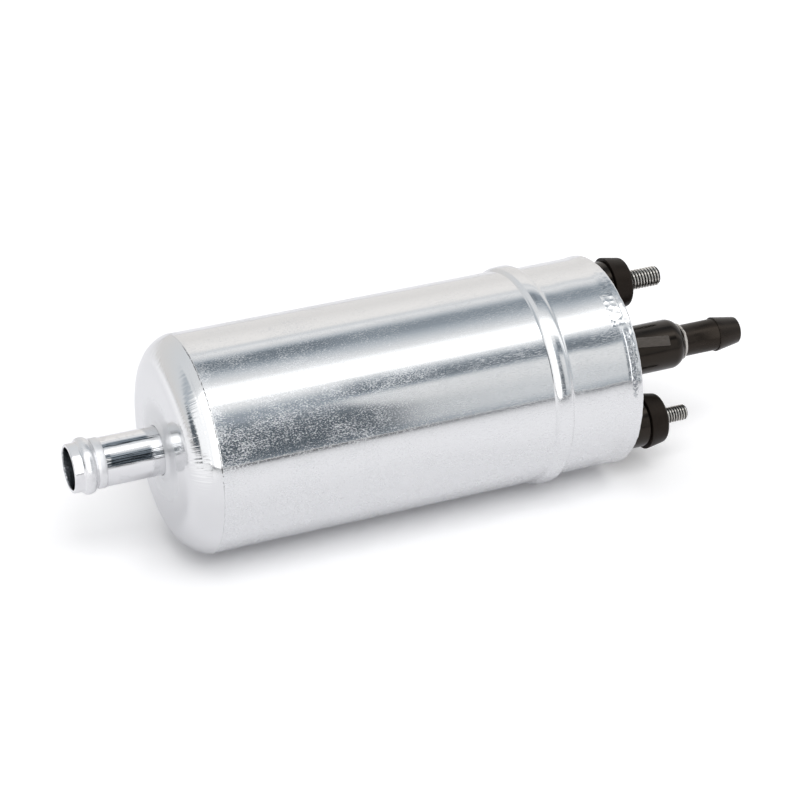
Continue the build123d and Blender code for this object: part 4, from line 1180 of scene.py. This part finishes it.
@dataclass
class EndCap:
    """The plastic end cap: skirt, plate, terminal bosses and the outlet tower with its rib."""

    start_x: float = 41.0 * MM
    inside_x: float = 57.0 * MM
    skirt_r: float = 24.35 * MM
    cavity_r: float = 22.05 * MM
    groove_x: Point = (57.6 * MM, 59.7 * MM)
    groove_r: float = 22.36 * MM
    flare_x: float = 60.4 * MM
    lip_x: float = 63.35 * MM
    flange_r: float = 24.55 * MM
    face_x: float = 64.4 * MM
    face_r: float = 23.6 * MM
    tower_r: float = 6.15 * MM
    tower_x: float = 87.6 * MM
    tower_round: float = 3.5 * MM
    neck_r: float = 4.05 * MM
    bore_r: float = 4.4 * MM
    bore_end_x: float = 82.2 * MM
    spigot_hole_r: float = 3.62 * MM
    boss_r: float = 6.15 * MM
    rib_width: float = 2.5 * MM
    rib_base: float = 5.2 * MM
    rib_rise: float = 0.6 * MM
    rib_end_x: float = 82.5 * MM
    rib_angle: float = 142.6
    rib_skew: float = 6.5
    seal_r: float = 1.42 * MM
    seal_depth: float = 1.42 * MM

    def body(self) -> Piece:
        """Turn the plate, skirt and tower in one.

        Returns:
            The turned body.
        """
        reach = math.sqrt(self.tower_round**2 - (self.neck_r - self.tower_r + self.tower_round) ** 2)
        centre = (self.tower_x - reach, self.tower_r - self.tower_round)
        last = math.degrees(math.acos(reach / self.tower_round))
        low, high = self.groove_x
        points = [
            (self.inside_x, self.bore_r), (self.inside_x, self.cavity_r), (self.start_x, self.cavity_r),
            (self.start_x, self.skirt_r - 0.2 * MM), (self.start_x + 0.3 * MM, self.skirt_r),
            (low, self.skirt_r), (low, self.groove_r), (high, self.groove_r), (high, self.skirt_r),
            (self.flare_x, self.skirt_r), (self.lip_x, self.flange_r), (self.lip_x, self.face_r),
            (self.face_x - 0.2 * MM, self.face_r), (self.face_x, self.face_r - 0.2 * MM),
        ]
        points += in_mm((0, 0.5), (0.15, 0.15), (0.5, 0), start=(self.face_x, self.tower_r))
        points += line((self.face_x + 3 * MM, self.tower_r), (centre[0], self.tower_r), 6)
        points += arc(centre, self.tower_round, 90, last, 16)[1:]
        points += [
            (self.tower_x, self.spigot_hole_r), (self.bore_end_x, self.spigot_hole_r),
            (self.bore_end_x, self.bore_r),
        ]
        return turned("end_cap_moulding", points, 192)

    def rib(self) -> Piece:
        """Model the flat-topped rib that runs along the tower, a little askew.

        Returns:
            The rib.
        """
        base, top = self.rib_base, self.tower_r + self.rib_rise
        length = self.rib_end_x - self.face_x + 0.4 * MM
        select()
        bpy.ops.mesh.primitive_cube_add(size=1, location=(self.rib_end_x - length / 2, 0, (base + top) / 2))
        rib = bpy.context.object
        rib.name = "rib"
        edit()
        bpy.ops.transform.resize(value=(length, self.rib_width, top - base))
        bpy.ops.transform.rotate(
            value=math.radians(self.rib_skew), orient_axis="Z", center_override=(self.rib_end_x, 0, 0)
        )
        turn = math.radians(self.rib_angle - 90)
        bpy.ops.transform.rotate(value=-turn, orient_axis="X", center_override=(0, 0, 0))
        mode("OBJECT")
        bpy.ops.object.transform_apply(location=True, rotation=True, scale=True)
        modify(rib, "BEVEL", width=0.12 * MM, segments=2, limit_method="ANGLE")
        return rib

    def finish(self, terminals: list[Terminal], plastic: Material) -> None:
        """Add bosses and rib to the body, bore it for the studs and dress it.

        Args:
            terminals: The two terminals.
            plastic: The cap's material.
        """
        cap = self.body()
        plate_x = self.face_x - 1 * MM
        for terminal in terminals:
            boss = rod(f"boss_{terminal.size}", [
                (plate_x, self.boss_r), (terminal.boss_x - 0.25 * MM, self.boss_r),
                (terminal.boss_x, self.boss_r - 0.25 * MM),
            ], 96)
            combine(cap, shift(boss, terminal.centre()), "UNION")
        combine(cap, self.rib(), "UNION")
        for terminal in terminals:
            hole_r = terminal.thread_r + 0.05 * MM
            seal_end = self.inside_x + self.seal_depth
            drill = rod(f"drill_{terminal.size}", [
                (self.inside_x - 1 * MM, hole_r + self.seal_r), (seal_end, hole_r + self.seal_r),
                (seal_end, hole_r), (terminal.boss_x + 1 * MM, hole_r),
            ], 48)
            combine(cap, shift(drill, terminal.centre()), "DIFFERENCE")
        mode("EDIT")
        clean()
        dress(settle(cap, 28), plastic, "end_cap")


@dataclass
class Outlet:
    """The barbed outlet pipe and the milky bead round its joint with the tower."""

    spigot_x: float = 83.0 * MM
    tower_x: float = 87.6 * MM
    outlet_x: float = 97.6 * MM
    tip_x: float = 104.1 * MM
    bore_r: float = 2.7 * MM
    spigot_r: float = 3.6 * MM
    outlet_r: float = 3.97 * MM
    barb_r: float = 4.30 * MM
    tip_r: float = 3.30 * MM
    tip_round: float = 0.5 * MM
    blob_angle: float = 127.0
    blob_rise: float = 0.45 * MM
    blob_reach: float = 1.3 * MM

    def pipe(self) -> Piece:
        """Turn the pipe with its barb and rounded tip.

        Returns:
            The pipe.
        """
        points = [
            (self.spigot_x, self.bore_r), (self.spigot_x, self.spigot_r), (self.tower_x, self.spigot_r),
            (self.tower_x, self.outlet_r), (self.tower_x + 2 * MM, self.outlet_r),
            (self.outlet_x - 0.12 * MM, self.outlet_r), (self.outlet_x, self.outlet_r + 0.06 * MM),
        ]
        barb = (self.outlet_x, self.barb_r)
        points += in_mm((0, -0.06), (0.06, 0), (0.25, 0), (0.7, -0.07), start=barb)
        middle = (self.tip_x - self.tip_round, self.tip_r - self.tip_round + 0.05 * MM)
        points += arc(middle, self.tip_round, 80, 0, 7)
        points += in_mm((0, 0.15), (-0.15, 0), start=(self.tip_x, self.bore_r))
        return settle(turned("outlet_pipe", points, 128), 35)

    def ring(self) -> Piece:
        """Turn the bead of resin, draw up its blob and make it uneven.

        Returns:
            The ring.
        """
        inner = self.outlet_r + 0.02 * MM
        points = in_mm(
            (0, 0), (-0.02, 0.35), (0.10, 0.55), (0.35, 0.6), (0.62, 0.42), (0.85, 0.14), (0.98, 0),
            start=(self.tower_x, inner),
        )
        ring = turned("outlet_bead", points, 96)
        out = Vector((0, *polar(1.0, self.blob_angle)))
        top = out * (inner + 0.6 * MM) + Vector((self.tower_x + 0.35 * MM, 0, 0))
        pull(ring, top, out * self.blob_rise, self.blob_reach)
        roughen(ring, "outlet_bead", 1.1 * MM, 0.16 * MM)
        modify(ring, "SUBSURF", levels=1, render_levels=1)
        return settle(ring, 60)

    def finish(self, resin: Material) -> None:
        """Model and dress pipe and bead.

        Args:
            resin: The bead's material.
        """
        pipe = self.pipe()
        plastic = PlasticFinish((0.0085, 0.0064, 0.0052), 0.27, specular=0.28).make("outlet_plastic")
        dress(pipe, plastic, "outlet_fitting")
        dress(self.ring(), resin, "outlet_joint_ring")


@dataclass
class Spring:
    """A compression spring along the axis, pressing on a part that moves.

    Attributes:
        node: The node that it stands for.
        joint: The joint that moves the part it presses; not used.
        centre: Where its axis lies, across and up.
        ends: Its two ends along the axis.
        anchor_x: The end that stays; not used.
        travel: How far the joint moves; not used.
        mean_r: Its radius to the middle of the wire.
        wire_r: The wire's radius.
        turns: Number of turns.
        around: How many steps a turn has.
        sides: How many sides the wire has.
        spare: How much more than the travel it would shorten; not used.
    """

    node: str
    joint: str
    centre: Point
    ends: Point
    anchor_x: float
    travel: float
    mean_r: float
    wire_r: float
    turns: int = 6
    around: int = 40
    sides: int = 12
    spare: float = 0.02 * MM

    def coil(self) -> Piece:
        """Sweep the wire's round section along the helix, and close its ends.

        Returns:
            The spring.
        """
        low, high = self.ends
        rise = high - low - 2 * self.wire_r
        section = arc((low + self.wire_r, self.mean_r), self.wire_r, 0, 360, self.sides)[:-1]
        wire = drawn(f"{self.node}_wire", section)
        mode("OBJECT")
        screw(wire, rise / self.turns, self.turns, self.around, use_merge_vertices=False)
        edit()
        bpy.ops.mesh.fill_holes(sides=self.sides)
        clean()
        return settle(shift(wire, self.centre), 45)

    def finish(self, steel: Material) -> None:
        """Model and dress the spring, and give it a mesh of its own.

        Args:
            steel: The spring's material.
        """
        wire = self.coil()
        dress(wire, steel, self.node)
        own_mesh(wire)


BRUSH_Y, BRUSH_Z = 6.8045 * MM, 5.2595 * MM
BRUSH_ENDS: Point = (46.872 * MM, 56.978 * MM)
BRUSH_WIRE = (3.0 * MM, 1.88 * MM, 0.24 * MM)
SPRINGS: tuple[Spring, ...] = (
    Spring("relief_spring", "relief_lift", (19.0 * MM, 0.0), (-41.577 * MM, -30.07 * MM), -41.577 * MM,
           1.5 * MM, 1.75 * MM, 0.25 * MM),
    Spring("valve_spring", "non_return_lift", (0.0, 0.0), (66.043 * MM, 82.977 * MM), 82.977 * MM,
           3.0 * MM, 3.12 * MM, 0.29 * MM),
    Spring("brush_spring_a", "brush_a_feed", (-BRUSH_Y, BRUSH_Z), BRUSH_ENDS, BRUSH_ENDS[1], *BRUSH_WIRE),
    Spring("brush_spring_b", "brush_b_feed", (BRUSH_Y, -BRUSH_Z), BRUSH_ENDS, BRUSH_ENDS[1], *BRUSH_WIRE),
)


@dataclass
class Room:
    """What the pump mirrors: white cards, dark flags and softboxes, drawn by direction.

    Each set lists angles and how bright the room is there. The lean is how far a ray runs
    along the axis, and an edge is where one set gives way to another.
    """

    lean_edge: Point = (0.322, 0.345)
    left_edge: Point = (0.20, 0.17)
    right_edge: Point = (0.54, 0.60)
    far_edge: Point = (-0.50, -0.62)
    pole_edge: Point = (-0.935, -0.95)
    fill: float = 0.62
    fill_colour: Colour = (0.99, 0.99, 1.0)

    shared: tuple[Point, ...] = (
        (0, 0.88), (22, 0.87), (31, 0.94), (40, 1.0), (46, 1.0), (50, 0.76), (54, 1.0), (57, 0.9), (61, 0.66),
    )
    dark_flag: tuple[Point, ...] = ((64, 0.36), (67, 0.22), (75, 0.26), (80, 0.42))
    light_flag: tuple[Point, ...] = ((64, 0.42), (67, 0.32), (75, 0.36), (80, 0.52))
    upper: tuple[Point, ...] = ((85, 0.68), (94, 0.95), (100, 1.5), (102, 2.2), (114, 2.2))
    dark: tuple[Point, ...] = (
        (117, 1.0), (121, 0.95), (128, 0.58), (132, 0.40), (136, 0.42), (141, 0.24), (153, 0.14), (168, 0.12),
        (177, 0.16), (180, 0.3),
    )
    light: tuple[Point, ...] = (
        (117, 0.9), (121, 0.62), (124, 0.26), (132, 0.17), (135.5, 0.42), (138.5, 0.96), (150, 0.92),
        (160, 0.82), (172, 0.80), (177, 0.6), (180, 0.42),
    )
    left: tuple[Point, ...] = ((0, 0.78), (50, 0.8), (90, 0.86), (97, 1.0), (101, 2.0), (180, 2.0))
    far: tuple[Point, ...] = ((0, 0.78), (50, 0.8), (66, 0.5), (80, 0.6), (97, 1.0), (101, 1.25), (180, 1.2))
    right: tuple[Point, ...] = (
        (0, 0.95), (55, 0.85), (72, 0.45), (88, 0.6), (102, 1.4), (118, 1.4), (132, 0.7), (165, 0.6),
        (180, 0.85),
    )
    pole: tuple[Point, ...] = ((0, 0.8), (55, 0.8), (62, 0.12), (180, 0.10))

    def build(self) -> None:
        """Make the world."""
        world = bpy.data.worlds.new("studio")
        bpy.context.scene.world = world
        world.use_nodes = True
        graph = Graph(world.node_tree)
        lean, side, height = graph.split(graph.node("TexCoord", {}, "Generated"))
        turn = graph.plus(graph.maths("DIVIDE", graph.maths("ARCTAN2", height, side), math.tau), 0.5)
        low, high = self.lean_edge
        bend = graph.spread(turn, turn_share(138), turn_share(158), 0.0, high - low)
        room = graph.mixed(
            graph.spread(graph.less(lean, bend), low - 0.003, low + 0.007),
            graph.ramp(turn, *self.shared, *self.dark_flag, *self.upper, *self.dark),
            graph.ramp(turn, *self.shared, *self.light_flag, *self.upper, *self.light),
        )
        for edge, stops in (
            (self.left_edge, self.left), (self.right_edge, self.right), (self.far_edge, self.far),
            (self.pole_edge, self.pole),
        ):
            share = graph.spread(lean, min(edge), max(edge))
            if edge[0] > edge[1]:
                share = graph.less(1.0, share)
            room = graph.mixed(share, room, graph.ramp(turn, *stops))
        lit = graph.either(
            graph.node("LightPath", {}, "Is Glossy Ray"),
            graph.node("Background", {"Color": self.fill_colour, "Strength": self.fill}),
            graph.node("Background", {"Color": room}),
        )
        white = graph.node("Background", {"Color": (1.0, 1.0, 1.0)})
        graph.show("World", graph.either(graph.node("LightPath", {}, "Is Camera Ray"), lit, white))


@dataclass
class Studio:
    """Pale floor, soft light and the photograph's camera."""

    floor_z: float = -27.0 * MM
    floor_size: float = 6.0
    floor_colour: Colour = (0.935, 0.935, 0.955)
    left_colour: Colour = (1.15, 1.15, 1.16)
    seen_colour: Colour = (1.12, 1.12, 1.125)
    far_colour: Colour = (0.20, 0.205, 0.215)
    lamps: tuple[tuple[str, Place, float, float], ...] = (
        ("key", (0.05, -0.60, 0.95), 0.8, 6.0), ("rim", (0.6, 0.9, 0.8), 0.8, 3.0),
    )
    eye: Place = (-199.3 * MM, -493.2 * MM, 299.2 * MM)
    aim: Place = (12.6 * MM, 0.0, -0.09 * MM)
    lens: float = 115.9
    sensor: float = 36.0
    near: float = 0.02

    def stand(self, name: str, data: bpy.types.ID, place: Place) -> Piece:
        """Stand a lamp or a camera at a place so that it faces the pump.

        Args:
            name: Its name.
            data: The lamp's or camera's settings.
            place: Where it stands.

        Returns:
            The object.
        """
        piece = bpy.data.objects.new(name, data)
        bpy.context.scene.collection.objects.link(piece)
        turned = (Vector(self.aim) - Vector(place)).to_track_quat("-Z", "Y").to_matrix().to_4x4()
        piece.matrix_world = Matrix.Translation(Vector(place)) @ turned
        return piece

    def camera(self) -> None:
        """Stand the camera where the photograph was taken from."""
        lens = bpy.data.cameras.new("camera")
        lens.lens = self.lens
        lens.sensor_width = self.sensor
        lens.clip_start = self.near
        bpy.context.scene.camera = self.stand("camera", lens, self.eye)

    def floor(self) -> None:
        """Lay the floor: white to the eye, with the real shadow kept, paler to the left and
        darker far in front where only mirrors see it."""
        select()
        bpy.ops.mesh.primitive_plane_add(size=self.floor_size, location=(0, 0, self.floor_z))
        floor = bpy.context.object
        floor.name = "floor"
        material = bpy.data.materials.new("floor")
        material.use_nodes = True
        graph = Graph(material.node_tree)
        along, across, _ = graph.split(graph.node("TexCoord", {}, "Object"))
        mirror = graph.node("LightPath", {}, "Is Glossy Ray")
        plain, left, far, seen = (
            graph.node("BsdfDiffuse", {"Color": colour})
            for colour in (self.floor_colour, self.left_colour, self.far_colour, self.seen_colour)
        )
        beside = graph.spread(graph.maths("ABSOLUTE", across), 0.05, 0.12)
        aside = graph.maths("MAXIMUM", graph.spread(along, -0.60, -0.30), beside)
        near = graph.maths("MINIMUM", graph.spread(across, -0.90, -0.03), aside)
        start = graph.less(1.0, graph.spread(along, -0.20, -0.09))
        plain = graph.either(graph.times(start, mirror), plain, left)
        mirrored = graph.either(graph.times(graph.less(1.0, near), mirror), plain, far)
        graph.show("Material", graph.either(graph.node("LightPath", {}, "Is Camera Ray"), mirrored, seen))
        floor.data.materials.append(material)

    def build(self) -> None:
        """Set up the floor, the room, the lamps and the camera."""
        bpy.context.scene.view_settings.view_transform = "Standard"
        self.floor()
        Room().build()
        for name, place, size, power in self.lamps:
            light = bpy.data.lights.new(name, "AREA")
            light.size = size
            light.energy = power
            lamp = self.stand(name, light, place)
            lamp.visible_glossy = lamp.visible_camera = False
        self.camera()
        log.info("studio: floor at %.1f mm", self.floor_z / MM)


def dress_nodes() -> dict[str, Material]:
    """Give each node of the model the finish that its slot names, where there is one.

    Returns:
        The materials by slot.
    """
    made: dict[str, Material] = {}
    special = {
        "enamelled_copper": WireFinish, "joint_resin": ResinFinish, "plated_steel": PipeFinish,
        "strainer_plastic": GauzeFinish, "cap_plastic": CapFinish,
    }
    slots = {part["node"]: part["material_slot"] for part in frame["record"]["subparts"]}
    for node, piece in frame["nodes"].items():
        slot = slots[node]
        if slot not in made:
            if slot in special:
                made[slot] = special[slot]().make()
            elif slot in FINISHES:
                made[slot] = FINISHES[slot].make(slot)
            else:
                continue
        piece.data.materials.clear()
        piece.data.materials.append(made[slot])
    log.info("%d nodes dressed in %d finishes", len(frame["nodes"]), len(made))
    return made


def main() -> None:
    """Dress the nodes, build the pieces that stand for some of them and set up the studio."""
    logging.basicConfig(level=logging.INFO, format="%(name)s: %(message)s")
    made = dress_nodes()
    Canister().finish()
    InletPipe().finish(made["plated_steel"])
    terminals = [
        Terminal("m5", 52.3, 2.5 * MM, 0.8 * MM, 86.75 * MM),
        Terminal("m4", 232.3, 2.0 * MM, 0.7 * MM, 84.75 * MM),
    ]
    for terminal in terminals:
        terminal.finish(made["boot_plastic"])
    EndCap().finish(terminals, made["cap_plastic"])
    Outlet().finish(made["joint_resin"])
    for spring in SPRINGS:
        spring.finish(made["spring_steel"])
    Studio().build()


if __name__ == "__main__":
    main()
